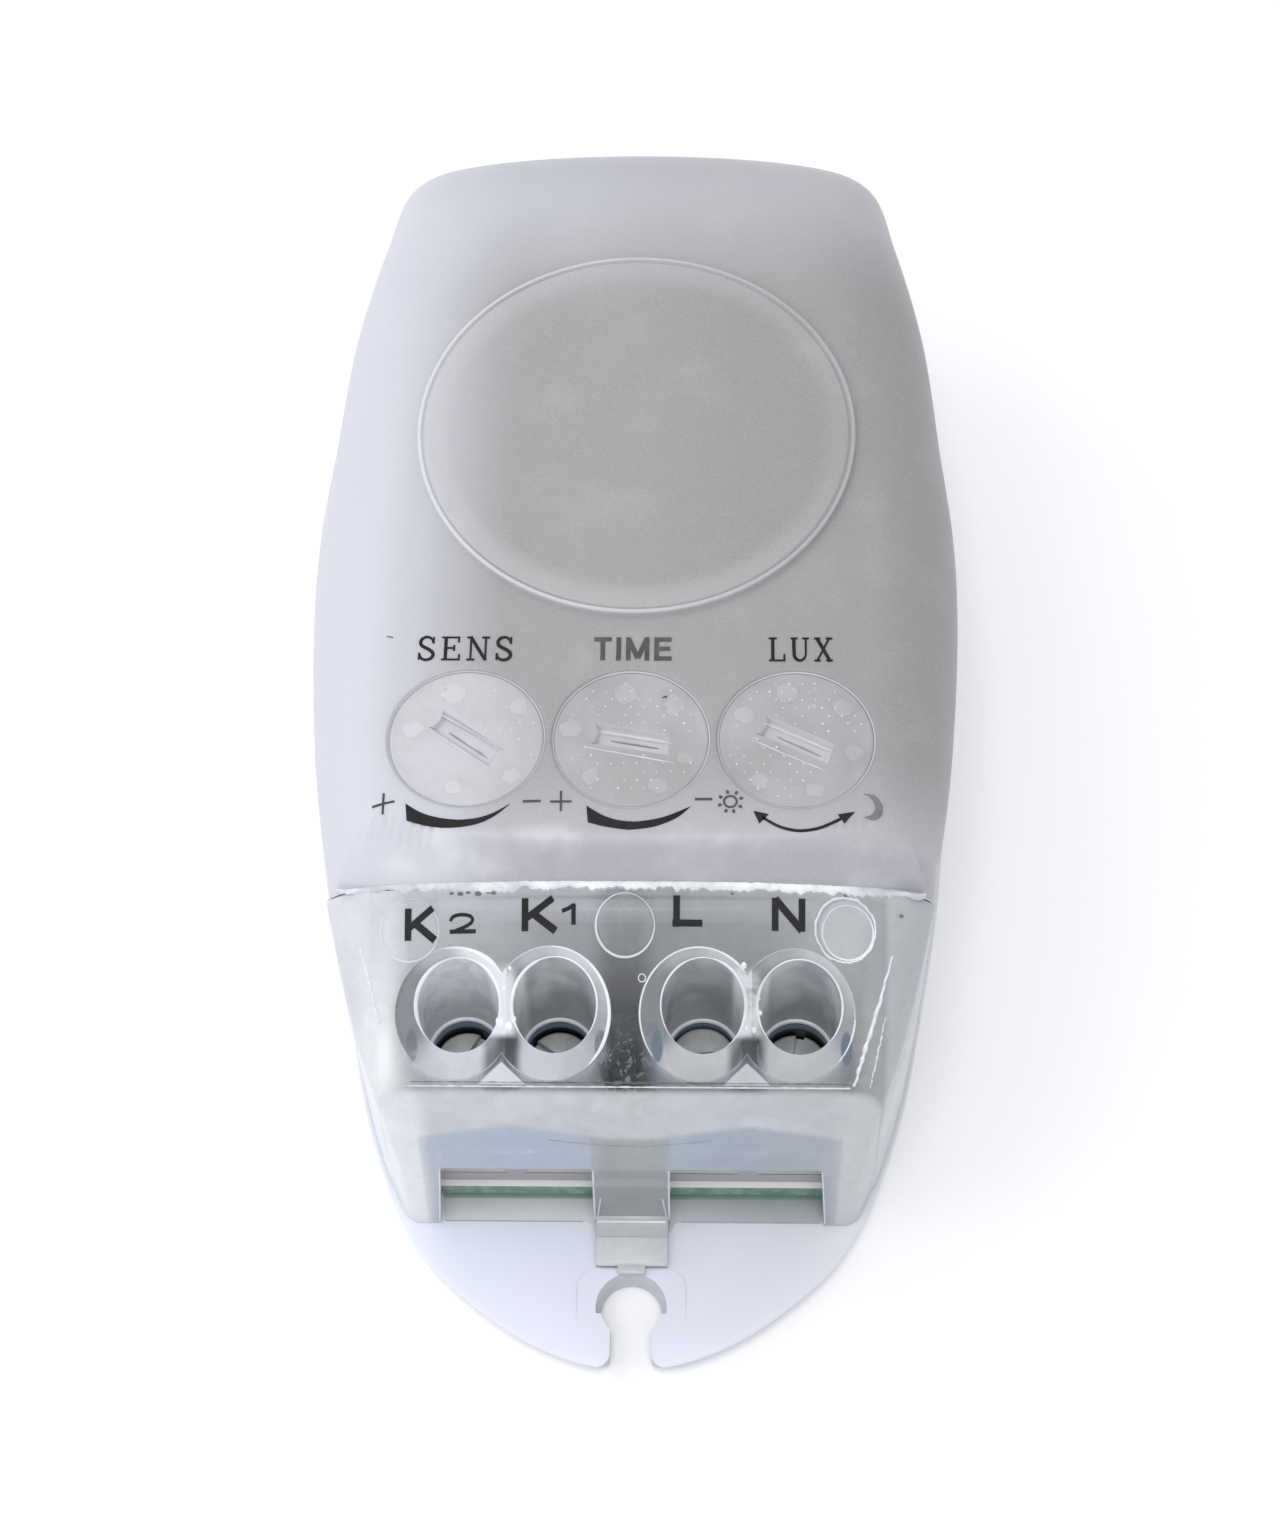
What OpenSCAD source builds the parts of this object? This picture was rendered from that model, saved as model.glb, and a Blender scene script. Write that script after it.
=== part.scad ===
// Microwave motion sensor in a translucent plastic housing.
// Frame: X to the right, Y towards the aerial end, Z up from the mounting face.
// Origin: centre of the base plate's box, on its underside.

/* [Housing] */
// Thickness of the base plate
base_t = 2.0; // [1.8:0.1:2.0]
// Height of the flat top of the main cover
top_z = 32.4; // [32.2:0.1:32.6]
// Wall thickness of the main cover
wall = 1.6; // [1.4:0.1:1.8]
// Radius of the raised round disc over the aerial
disc_r = 18.5; // [17.5:0.1:18.6]
// How far the disc stands above the flat top
disc_rise = 0.5; // [0.3:0.1:0.8]

/* [Controls] */
// Distance between neighbouring knobs
knob_pitch = 13.1; // [13.0:0.1:13.3]
// Y position of the row of knobs
knob_y = -12.5; // [-13:0.1:-12]
// Radius of a knob
knob_r = 5.95; // [5.7:0.05:5.95]
// Radius of the hole around a knob
knob_hole_r = 6.25; // [6.2:0.05:6.35]
// Depth of a knob's face below the flat top
knob_sink = 0.5; // [0.3:0.1:0.8]
// Direction of the SENS knob's slot at rest, degrees
sens_angle = -36; // [-90:1:90]
// Direction of the TIME knob's slot at rest, degrees
time_angle = -10; // [-90:1:90]
// Direction of the LUX knob's slot at rest, degrees
lux_angle = -27; // [-90:1:90]

/* [Terminals] */
// Distance between the two poles of one block
pole_pitch = 7.5; // [7.5:0.1:7.6]
// X position of the middle of a block
pair_x = 9.55; // [9.5:0.05:9.6]
// Y position of the terminal screws
pole_y = -32.8; // [-33:0.1:-32.6]
// Radius of a screwdriver tube's mouth
tube_top_r = 3.35; // [3.2:0.05:3.4]
// Radius of a screwdriver tube's lower end
tube_low_r = 2.95; // [2.9:0.05:3.0]
// Outer radius of a screwdriver tube
tube_r = 4.75; // [4.5:0.05:4.8]

/* [Fixing] */
// Radius of the keyhole
key_r = 2.5; // [2.0:0.1:2.5]
// Width of the keyhole's neck
key_neck = 3.4; // [3.0:0.1:3.8]
// Y position of the keyhole's centre
key_y = -49.0; // [-49.2:0.1:-48.9]

/* [Hidden] */
$fn = 48;

board_z = 3.6;          // underside of the power board
board_t = 1.6;          // both boards
block_z = board_z + board_t;
block_h = 11.1;
upper_z = 19.8;         // underside of the control board
upper_top = upper_z + board_t;
seam_y = -24.3;
seam_z = 30.15;         // top of the seam in the middle
bevel_slope = 0.8;      // rise of the bevel behind the seam
post_x = 19.2;          // front screws of the power board
post_y = -26.0;
spacer_at = [[-17.3, 3], [17.3, 3], [-16, 27], [16, 27]];
seam_gap = 0.3;
knob_x = [-knob_pitch, 0, knob_pitch];
pole_x = [-pair_x - pole_pitch/2, -pair_x + pole_pitch/2, pair_x - pole_pitch/2, pair_x + pole_pitch/2];
// Resting height of each screw's head, K2 K1 L N
head_z = [15.0, 15.2, 16.2, 14.9];
screw_l = 4.4;          // shank below the head
head_h = 1.8;

// Right half of each outline, from the south end to the north end.
// Base plate edge
base_pts = [[0, -54.2], [4.5, -53.6], [9.0, -51.7], [13.3, -48.7], [16.6, -45.6], [19.1, -41.9],
    [21.0, -37.6], [23.1, -31.0], [24.9, -22], [26.6, -12], [27.7, 0], [27.8, 10], [27.0, 20],
    [26.0, 31.5], [24.1, 42.4], [21.9, 50.4], [14.6, 53.3], [0, 54]];
// Foot, upper edge of the wall, and edge of the flat top of the main cover
foot_pts = [[23.0, -30], [24.6, -22], [26.2, -12], [27.3, 0], [27.4, 10], [26.6, 20], [25.6, 31.5],
    [23.6, 42.4], [21.4, 50.0], [14.4, 52.9], [0, 53.6]];
wall_pts = [[22.8, -30], [24.3, -22], [25.9, -12], [26.95, 0], [27.1, 10], [26.3, 20], [25.3, 31.5],
    [23.2, 42.2], [20.9, 49.4], [14.0, 51.9], [0, 52.7]];
top_pts = [[18.3, -30], [18.8, -22], [19.3, -12], [19.8, 2], [19.2, 10], [17.9, 20], [16.4, 31],
    [14.2, 36.6], [10.9, 40.2], [6.2, 42.0], [0, 42.6]];
wall_z = 25;            // where the shoulder of the main cover begins

function cr(a, b, c, d, t) = 0.5*(2*b + (c - a)*t + (2*a - 5*b + 4*c - d)*t*t + (3*b - a - 3*c + d)*t*t*t);
// Smooth curve through the points of a right half; its ends run on as if mirrored or straight.
function at(p, i) = i < 0 ? (p[0][0] == 0 ? [-p[1][0], p[1][1]] : 2*p[0] - p[1])
    : i >= len(p) ? [-p[len(p) - 2][0], p[len(p) - 2][1]] : p[i];
function half_curve(p, n) = concat([for (i = [0:len(p) - 2], j = [0:n - 1])
    cr(at(p, i - 1), at(p, i), at(p, i + 1), at(p, i + 2), j/n)], [p[len(p) - 1]]);
// Moves each point of a right half inwards by d.
function inward(c, d) = [for (i = [0:len(c) - 1])
    let(a = c[max(i - 1, 0)], b = c[min(i + 1, len(c) - 1)], v = i == len(c) - 1 ? [-1, 0] : b - a, l = norm(v))
    [i == len(c) - 1 || c[i][0] == 0 ? 0 : max(c[i][0] - d*v[1]/l, 0.1), c[i][1] + (i == 0 && c[0][0] == 0 ? -d*sign(-1) : d*v[0]/l)]];
function both(c) = concat([for (q = c) q], [for (i = [len(c) - 1:-1:0]) if (c[i][0] > 0) [-c[i][0], c[i][1]]]);
function blend(a, b, s) = [for (i = [0:len(a) - 1]) a[i] + (b[i] - a[i])*s];

module slice(c, z) { translate([0, 0, z]) linear_extrude(0.01) polygon(both(c)); }

// The main cover's outer form, or its cavity when d is above 0
module cover_form(d, n) {
    top = half_curve(top_pts, n);
    side = half_curve(wall_pts, n);
    hull() {
        slice(inward(half_curve(foot_pts, n), d), d > 0 ? base_t - 1 : base_t);
        for (a = [90, 72, 56, 40, 22, 0])
            slice(inward(blend(top, side, sin(a)), d*0.9), top_z - 0.01 - d - (top_z - wall_z - d*0.4)*(1 - cos(a)));
    }
}

// One cross-section of the crowned bevel behind the seam
module bevel_slice(y, d) {
    z = seam_z + (y - seam_y)*bevel_slope - d;
    right = [[40, -5], [40, z - 9], [23.6, z - 2.1], [21, z - 1.3], [18, z - 0.75], [12, z - 0.2], [8, z]];
    translate([0, y + 0.005, 0]) rotate([90, 0, 0]) linear_extrude(0.01)
        polygon(concat(right, [for (i = [len(right) - 1:-1:0]) [-right[i][0], right[i][1]]]));
}

// Everything that lies below the bevel
module bevel_form(d) { hull() { bevel_slice(-27, d); bevel_slice(60, d); } }

// One cross-section of the terminal cover at y: bottom half-width, side half-width at height zs, flat half-width at height zt, crown c
module station(y, xb, zb, xs, zs, xt, zt, c = 0) {
    r = zt - zs;
    right = [[xb, zb], [xs + (xb - xs)*0.05, max(zs - 1.5, zb + 0.1)], [xs, zs], [xs - (xs - xt)*0.12, zs + r*0.42], [xs - (xs - xt)*0.36, zs + r*0.74], [xs - (xs - xt)*0.68, zs + r*0.93], [xt, zt], [xt*0.62, zt + c*0.7], [xt*0.3, zt + c]];
    translate([0, y + 0.005, 0]) rotate([90, 0, 0]) linear_extrude(0.01)
        polygon(concat(right, [for (i = [len(right) - 1:-1:0]) [-right[i][0], right[i][1]]]));
}

// The terminal cover's outer form, or its cavity when d is above 0
module lid_form(d) {
    zb = d > 0 ? base_t - 1 : base_t + 0.1;
    n = seam_y - seam_gap;
    hull() {
        station(n + (d > 0 ? 2 : 0), 24.15 - d, zb, 24.0 - d, 26.4 - d, 19.5 - d, 29.15 - d*1.15 + (d > 0 ? 1 : 0), 1.0);
        station(-31.0, 22.75 - d, zb, 22.5 - d, 23.2 - d, 18.7 - d, 26.3 - d*1.15, 0.5);
        station(-36.6 + d*0.4, 21.1 - d, zb, 20.8 - d, 20.4 - d, 17.8 - d, 23.75 - d*1.15, 0.1);
        station(-38.0 + d*0.6, 20.4 - d, zb, 20.1 - d, 19.4 - d, 17.4 - d, 23.0 - d*1.15);
        station(-38.9 + d*0.9, 19.8 - d, zb, 19.5 - d, 17.6 - d, 17.0 - d, 21.7 - d);
        station(-41.2 + d*0.85, 18.9 - d, zb, 18.2 - d*0.8, 5 - d*0.3, 17.6 - d*0.8, 6.5 - d*0.3);
        station(-41.8 + d*0.85, 17.9 - d*0.8, zb, 17.4 - d*0.8, 2.8, 17.2 - d*0.8, 3.0);
    }
}

module at_poles(i) { translate([pole_x[i], pole_y, 0]) children(); }

module base_plate() {
    n = 4;
    edge = half_curve(base_pts, n);
    rim = inward(half_curve(foot_pts, 4), wall + 0.15);
    color([0.90, 0.91, 0.96]) difference() {
        union() {
            linear_extrude(base_t) polygon(both(inward(edge, 0.7)));
            for (i = [0:3]) translate([0, 0, 0.2*i + 0.15]) linear_extrude(base_t - 0.2*i - 0.15) polygon(both(inward(edge, i < 3 ? 0.45 - 0.15*i : 0)));
            // locating rim inside the main cover
            translate([0, 0, base_t]) linear_extrude(1.4) difference() {
                polygon(both(rim));
                polygon(both(inward(rim, 1.2)));
                translate([-40, -60]) square([80, 60 + seam_y + 1]);
                for (s = [-1, 1]) translate([s*24 - 6, -6]) square([12, 7]);
                translate([-4, 45]) square([8, 12]);
            }
            // posts under the power board
            for (x = [-1, 1], y = [post_y, 34]) translate([x*(y > 0 ? 18 : post_x), y, base_t - 0.5]) cylinder(r = 2.6, h = board_z - base_t + 0.5);
            // low boss around the keyhole
            translate([0, key_y, base_t]) difference() { cylinder(r = 2.9, h = 0.1); translate([-6, -9, -1]) cube([12, 7, 3]); }
        }
        translate([0, key_y, -1]) cylinder(r = key_r, h = 4);
        translate([-key_neck/2, -58, -1]) cube([key_neck, 58 + key_y, 4]);
        // rounded mouth of the keyhole's neck
        for (s = [0, 1]) mirror([s, 0, 0]) translate([key_neck/2, -54.6, -1]) linear_extrude(4)
            difference() { translate([-0.1, -1]) square([1.3, 2.2]); translate([1.2, 1.2]) circle(r = 1.2); }
        // pocket for the catch under the tongue's foot
        translate([-1.5, -45.9, -1]) cube([3, 2.6, 4]);
        // pilot holes for the board screws
        for (x = [-1, 1], y = [post_y, 34]) translate([x*(y > 0 ? 18 : post_x), y, 0.8]) cylinder(r = 1.15, h = 6);
        // blunt tip
        translate([-10, -60, -1]) cube([20, 6, 5]);
    }
}

module main_cover() {
    color([0.86, 0.86, 0.90]) {
        difference() {
            union() {
                difference() {
                    intersection() { cover_form(0, 4); bevel_form(0); }
                    translate([-40, -60, -1]) cube([80, 60 + seam_y, 50]);
                    difference() {
                        intersection() { cover_form(wall, 3); bevel_form(wall*1.1); }
                        // wells that guide the knobs hang from the top
                        for (x = knob_x) translate([x, knob_y, top_z - 4]) cylinder(r = knob_hole_r + 0.8, h = 9);
                        // wall behind the terminal compartment
                        translate([-22.8, seam_y, 7.0]) cube([45.6, 1.4, 18.0]);
                    }
                }
                translate([0, 17.5, top_z - 1.5]) cylinder(r = disc_r, h = disc_rise + 1.5, $fn = 96);
            }
            translate([0, 17.5, top_z - 4]) cylinder(r = disc_r - 1.8, h = 3.3, $fn = 96);
            for (x = knob_x) translate([x, knob_y, top_z - 6]) cylinder(r = knob_hole_r, h = 9, $fn = 64);
        }
    }
}

module terminal_cover() {
    color([0.84, 0.86, 0.88]) difference() {
        union() {
            difference() {
                lid_form(0);
                lid_form(1.4);
            }
            // four tubes that guide a screwdriver to the screws
            intersection() {
                for (i = [0:3]) at_poles(i) translate([0, 0, 16.7]) cylinder(r = tube_r, h = 16);
                lid_form(0.6);
            }
            // lip that hooks under the main cover
            translate([-15, seam_y - 1.5, 26.0]) cube([30, 1.1, 2.7]);
            translate([-15, seam_y - 1.5, 26.0]) cube([30, 3.2, 1.3]);
            // springy tongue with its foot and catch
            translate([-3, 0, base_t + 0.15]) rotate([90, 0, 90]) linear_extrude(6)
                polygon([[-41.0, 0], [-41.0, 2.8], [-41.5, 2.4], [-42.0, 1.4], [-42.7, 0.75], [-45.4, 0.65], [-45.6, 0.5], [-45.6, 0]]);
            translate([-1.15, -46.3, base_t + 0.15]) cube([2.3, 1, 0.5]);
            translate([-1.1, -44.5, 1.1]) cube([2.2, 0.9, 1.5]);
        }
        for (i = [0:3]) at_poles(i) translate([0, 0, 16.6]) cylinder(r1 = tube_low_r, r2 = tube_low_r + (tube_top_r - tube_low_r)*15/9.5, h = 15);
        // windows for the wires
        for (s = [-1, 1]) translate([s > 0 ? 3.05 : -15.9, -44, base_t - 1]) cube([12.85, 6, 10.0]);
        // round ejector marks
        for (x = [-17.0, 0, 16.9]) translate([x, -27.2, 28.72 + (x == 0 ? 0 : -0.7)]) rotate([27.6, 0, 0]) translate([0, 0, x == 0 ? -0.1 : -0.2]) cylinder(r = 2.3, h = 2, $fn = 32);
    }
}

module knob(x, angle) {
    face = top_z - knob_sink;
    translate([x, knob_y, 0]) rotate([0, 0, angle]) color([0.86, 0.86, 0.88]) difference() {
        union() {
            translate([0, 0, face - 2.4]) cylinder(r = knob_r, h = 2.4, $fn = 64);
            translate([0, 0, 27.0]) cylinder(r = 2.2, h = face - 28);
            translate([-1.3, -0.45, 25.1]) cube([2.6, 0.9, 3]);
        }
        translate([-2.75, -0.7, face - 1.3]) cube([5.5, 1.4, 3]);
    }
}
module sens_knob() { knob(knob_x[0], sens_angle); }
module time_knob() { knob(knob_x[1], time_angle); }
module lux_knob() { knob(knob_x[2], lux_angle); }

module rotor(x, angle) {
    translate([x, knob_y, 0]) rotate([0, 0, angle]) color([0.93, 0.93, 0.90]) difference() {
        translate([0, 0, 24.3]) cylinder(r = 2.95, h = 2.5);
        translate([-1.3, -0.45, 25.1]) cube([2.6, 0.9, 3]);
    }
}
module sens_rotor() { rotor(knob_x[0], sens_angle); }
module time_rotor() { rotor(knob_x[1], time_angle); }
module lux_rotor() { rotor(knob_x[2], lux_angle); }

module trimmer(x) {
    translate([x, knob_y, upper_top]) {
        color([0.16, 0.30, 0.55]) difference() {
            translate([-4.8, -5, 0]) cube([9.6, 10, 4.8]);
            translate([0, 0, 2.8]) cylinder(r = 3.0, h = 4);
        }
        // three pins through the board
        color([0.8, 0.8, 0.8]) for (p = [[-2.5, -2.5], [2.5, -2.5], [0, 2.5]]) translate([p[0] - 0.25, p[1] - 0.25, -board_t - 1.2]) cube([0.5, 0.5, board_t + 1.2]);
    }
}
module sens_trimmer() { trimmer(knob_x[0]); }
module time_trimmer() { trimmer(knob_x[1]); }
module lux_trimmer() { trimmer(knob_x[2]); }

module power_board() {
    color([0.25, 0.50, 0.33]) difference() {
        translate([0, 0, board_z]) linear_extrude(board_t)
            polygon([[-16.2, -39.75], [16.2, -39.75], [19.2, -35], [21.4, -26], [23.2, -14], [24.0, 0], [24.0, 12], [22.6, 30], [21, 38], [-21, 38], [-22.6, 30], [-24.0, 12], [-24.0, 0], [-23.2, -14], [-21.4, -26], [-19.2, -35]]);
        for (x = [-1, 1], y = [post_y, 34]) translate([x*(y > 0 ? 18 : post_x), y, board_z - 1]) cylinder(r = 1.3, h = 4);
        // holes for the wire clamps' pins
        for (i = [0:3]) at_poles(i) translate([-0.65, 1.35, board_z - 1]) cube([1.3, 1.1, 4]);
    }
}

module control_board() {
    color([0.25, 0.50, 0.33]) difference() {
        translate([-19.5, -20.5, upper_z]) cube([39, 56, board_t]);
        // holes for the trimmers' pins
        for (x = knob_x, p = [[-2.5, -2.5], [2.5, -2.5], [0, 2.5]]) translate([x + p[0] - 0.3, knob_y + p[1] - 0.3, upper_z - 1]) cube([0.6, 0.6, 4]);
        for (i = [0:5]) translate([-6.35 + i*2.54 - 0.35, 31.65, upper_z - 1]) cube([0.7, 0.7, 4]);
        for (p = spacer_at) translate([p[0], p[1], upper_z - 1]) cylinder(r = 1.5, h = 4);
    }
}

module board_spacers() {
    color([0.92, 0.92, 0.88]) for (p = spacer_at) translate([p[0], p[1], 0]) {
        translate([0, 0, block_z]) cylinder(r = 2.1, h = upper_z - block_z);
        translate([0, 0, upper_z - 1]) cylinder(r = 1.4, h = board_t + 1.8);
        translate([0, 0, upper_top]) cylinder(r = 1.9, h = 0.8);
    }
}

module board_screws() {
    color([0.75, 0.76, 0.78]) for (x = [-1, 1], y = [post_y, 34]) translate([x*(y > 0 ? 18 : post_x), y, 0]) difference() {
        union() {
            translate([0, 0, 1.0]) cylinder(r = 1.1, h = block_z - 0.5);
            translate([0, 0, block_z]) cylinder(r = 2.1, h = 1.3);
        }
        for (a = [0, 90]) rotate([0, 0, a]) translate([-1.3, -0.25, block_z + 0.6]) cube([2.6, 0.5, 2]);
    }
}

module pin_header() {
    translate([-6.35, 32, 0]) {
        color([0.12, 0.12, 0.13]) translate([-1.27, -1.27, block_z]) cube([15.24, 2.54, 2.5]);
        color([0.80, 0.72, 0.42]) for (i = [0:5]) translate([i*2.54 - 0.3, -0.3, block_z + 1]) cube([0.6, 0.6, upper_top - block_z]);
    }
}

module aerial_ring() {
    color([0.78, 0.79, 0.80]) translate([0, 17.5, 0]) {
        difference() {
            translate([0, 0, 27.4]) cylinder(r = 14.5, h = 0.5, $fn = 96);
            translate([0, 0, 27]) cylinder(r = 11.5, h = 2, $fn = 96);
            translate([-1.2, 5, 27]) cube([2.4, 12, 2]);
        }
        // three legs down to the board
        for (a = [80, 200, 320]) rotate([0, 0, a]) translate([12.6, -0.8, upper_top]) cube([0.5, 1.6, 6.2]);
    }
}

module radar_can() {
    color([0.72, 0.73, 0.75]) translate([-8, 9.5, upper_top]) difference() {
        cube([16, 16, 3]);
        translate([0.4, 0.4, -1]) cube([15.2, 15.2, 3.6]);
        for (i = [0:2], j = [0:2]) translate([4 + i*4, 4 + j*4, 1]) cylinder(r = 0.6, h = 4);
    }
}

module timer_chip() {
    color([0.10, 0.10, 0.11]) translate([-14.5, 0.5, upper_top + 0.3]) cube([9, 4, 1.6]);
    color([0.8, 0.8, 0.8]) for (i = [0:6], s = [0, 1]) translate([-14.3 + i*1.27 + 0.1, s > 0 ? 4.4 : -0.6, upper_top]) cube([0.4, 1.2, 0.5]);
}

module light_sensor() {
    color([0.85, 0.55, 0.35]) translate([12, 1.5, upper_top + 5]) cylinder(r = 2.5, h = 2);
    color([0.8, 0.8, 0.8]) for (s = [-1, 1]) translate([12 + s*1.27, 1.5, upper_top]) cylinder(r = 0.3, h = 5.2);
}

module relay() {
    color([0.15, 0.30, 0.62]) translate([-20.2, -19.6, block_z]) difference() {
        cube([15.4, 19.2, 13.2]);
        translate([7.7, 1.2, 12.6]) cylinder(r = 0.5, h = 2);
    }
}

module film_capacitor() {
    color([0.80, 0.70, 0.20]) translate([2.5, -20, block_z]) cube([8, 18, 12.8]);
}

module storage_capacitor() {
    color([0.12, 0.13, 0.20]) translate([14.2, 9.5, block_z]) difference() {
        cylinder(r = 5, h = 12.5);
        for (a = [45, 135]) rotate([0, 0, a]) translate([-3, -0.15, 12.2]) cube([6, 0.3, 1]);
    }
}

module output_capacitor() {
    color([0.12, 0.13, 0.20]) translate([-15, 9.5, block_z]) difference() {
        cylinder(r = 3.15, h = 11);
        for (a = [45, 135]) rotate([0, 0, a]) translate([-1.9, -0.15, 10.7]) cube([3.8, 0.3, 1]);
    }
}

module bridge_rectifier() {
    color([0.10, 0.10, 0.11]) translate([-8.5, 6, block_z + 0.4]) cube([8.5, 6.5, 3]);
    color([0.8, 0.8, 0.8]) for (x = [-7.6, -1.9], y = [5.2, 12.1]) translate([x, y, block_z]) cube([1, 1.2, 0.6]);
}

module varistor() {
    color([0.20, 0.40, 0.75]) translate([15.6, -20.4, block_z + 6.2]) rotate([90, 0, 0]) translate([0, 0, -3.6]) cylinder(r = 4.6, h = 3.6);
    color([0.8, 0.8, 0.8]) for (s = [-1, 1]) translate([15.6 + s*2.5, -18.6, block_z]) cylinder(r = 0.35, h = 3.5);
}

module fuse_resistor() {
    color([0.35, 0.55, 0.40]) translate([15.8, -11, block_z + 2.3]) rotate([-90, 0, 0]) cylinder(r = 2.1, h = 10);
    color([0.8, 0.8, 0.8]) for (y = [-12.2, 0.2]) translate([15.8, y, block_z]) cylinder(r = 0.35, h = 2.3);
    color([0.8, 0.8, 0.8]) translate([15.8, -12.2, block_z + 2.3]) rotate([-90, 0, 0]) cylinder(r = 0.35, h = 12.4);
}

module choke_coil() {
    color([0.14, 0.14, 0.15]) translate([4.7, 9.5, block_z]) rotate_extrude() polygon([[0, 0], [4, 0], [4, 1.2], [2.9, 1.6], [2.9, 7.4], [4, 7.8], [4, 9], [0, 9]]);
}

module voltage_regulator() {
    color([0.10, 0.10, 0.11]) translate([-7, 18, block_z + 3]) difference() {
        cylinder(r = 2.3, h = 4.6);
        translate([-3, -4.3, -1]) cube([6, 3, 7]);
    }
    color([0.8, 0.8, 0.8]) for (s = [-1.27, 0, 1.27]) translate([-7 + s - 0.2, 17.8, block_z]) cube([0.4, 0.4, 3.2]);
}

// Housing of a two-pole terminal block
module terminal_block(x) {
    color([0.62, 0.68, 0.77]) translate([x, 0, block_z]) difference() {
        union() {
            translate([-7.4, 0, 0]) rotate([90, 0, 90]) linear_extrude(14.8)
                polygon([[-39.2, 0], [-39.2, 4], [-38.1, 10.2], [-37.2, block_h], [-27.6, block_h], [-27.6, 0]]);
        }
        for (s = [-1, 1]) translate([s*pole_pitch/2, 0, 0]) {
            // screw well, clamp chamber and wire entry
            translate([0, pole_y, 7.1]) cylinder(r = 2.75, h = 8);
            translate([-2.95, -38.7, 1.6]) cube([5.9, 9.4, 5.5]);
            translate([-2.95, -40, 1.6]) cube([5.9, 3, 4.2]);
            translate([-0.6, pole_y + 1.4, -1]) cube([1.2, 1, 4]);
        }
    }
}
module terminal_block_k() { terminal_block(-pair_x); }
module terminal_block_ln() { terminal_block(pair_x); }

// Metal tube that takes the wire, with the screw's thread in its top and a pin into the board
module wire_clamp() {
    difference() {
        translate([-2.9, -5.6, 6.8]) cube([5.8, 9, 5.4]);
        translate([-2.2, -6, 7.3]) cube([4.4, 10, 3.7]);
        translate([0, 0, 8]) cylinder(r = 1.55, h = 8);
    }
    translate([-0.5, 1.5, board_z - 0.5]) cube([1, 0.8, 4]);
}
module wire_clamps_k() { color([0.70, 0.66, 0.58]) for (i = [0, 1]) at_poles(i) wire_clamp(); }
module wire_clamps_ln() { color([0.70, 0.66, 0.58]) for (i = [2, 3]) at_poles(i) wire_clamp(); }

// Plate that the screw presses onto the wire
module pressure_plate(i) {
    z = head_z[i] - head_h - screw_l;
    color([0.75, 0.75, 0.76]) at_poles(i) translate([-2.0, -4.0, z - 0.6]) cube([4.0, 6.6, 0.6]);
}
module k2_pressure_plate() { pressure_plate(0); }
module k1_pressure_plate() { pressure_plate(1); }
module l_pressure_plate() { pressure_plate(2); }
module n_pressure_plate() { pressure_plate(3); }

module terminal_screw(i, angle) {
    z = head_z[i];
    color([0.78, 0.79, 0.80]) at_poles(i) rotate([0, 0, angle]) difference() {
        union() {
            translate([0, 0, z - head_h]) cylinder(r = 2.35, h = head_h);
            translate([0, 0, z - head_h - screw_l]) cylinder(r = 1.5, h = screw_l + 0.5);
        }
        translate([-2.5, -0.35, z - 0.9]) cube([5, 0.7, 2]);
    }
}
module k2_screw() { terminal_screw(0, 60); }
module k1_screw() { terminal_screw(1, -35); }
module l_screw() { terminal_screw(2, 5); }
module n_screw() { terminal_screw(3, 80); }

base_plate();
main_cover();
terminal_cover();
sens_knob();
time_knob();
lux_knob();
sens_rotor();
time_rotor();
lux_rotor();
sens_trimmer();
time_trimmer();
lux_trimmer();
power_board();
control_board();
board_spacers();
board_screws();
pin_header();
aerial_ring();
radar_can();
timer_chip();
light_sensor();
relay();
film_capacitor();
storage_capacitor();
output_capacitor();
bridge_rectifier();
varistor();
fuse_resistor();
choke_coil();
voltage_regulator();
terminal_block_k();
terminal_block_ln();
wire_clamps_k();
wire_clamps_ln();
k2_pressure_plate();
k1_pressure_plate();
l_pressure_plate();
n_pressure_plate();
k2_screw();
k1_screw();
l_screw();
n_screw();
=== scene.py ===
import math

import bmesh
import bpy
import numpy as np
from mathutils import Matrix, Vector, noise


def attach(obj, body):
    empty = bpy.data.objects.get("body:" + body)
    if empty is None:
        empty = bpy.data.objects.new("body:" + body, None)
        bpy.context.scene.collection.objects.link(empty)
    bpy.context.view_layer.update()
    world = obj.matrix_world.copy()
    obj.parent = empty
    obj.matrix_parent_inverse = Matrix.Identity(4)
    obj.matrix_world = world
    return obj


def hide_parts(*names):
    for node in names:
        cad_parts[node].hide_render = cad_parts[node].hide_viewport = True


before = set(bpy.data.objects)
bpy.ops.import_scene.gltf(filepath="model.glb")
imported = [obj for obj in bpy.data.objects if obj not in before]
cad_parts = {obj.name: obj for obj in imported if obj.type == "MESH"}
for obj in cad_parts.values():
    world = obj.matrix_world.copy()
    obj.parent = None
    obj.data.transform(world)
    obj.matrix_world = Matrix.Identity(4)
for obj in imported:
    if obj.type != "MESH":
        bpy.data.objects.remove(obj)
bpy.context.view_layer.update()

MM = 0.001

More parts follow.
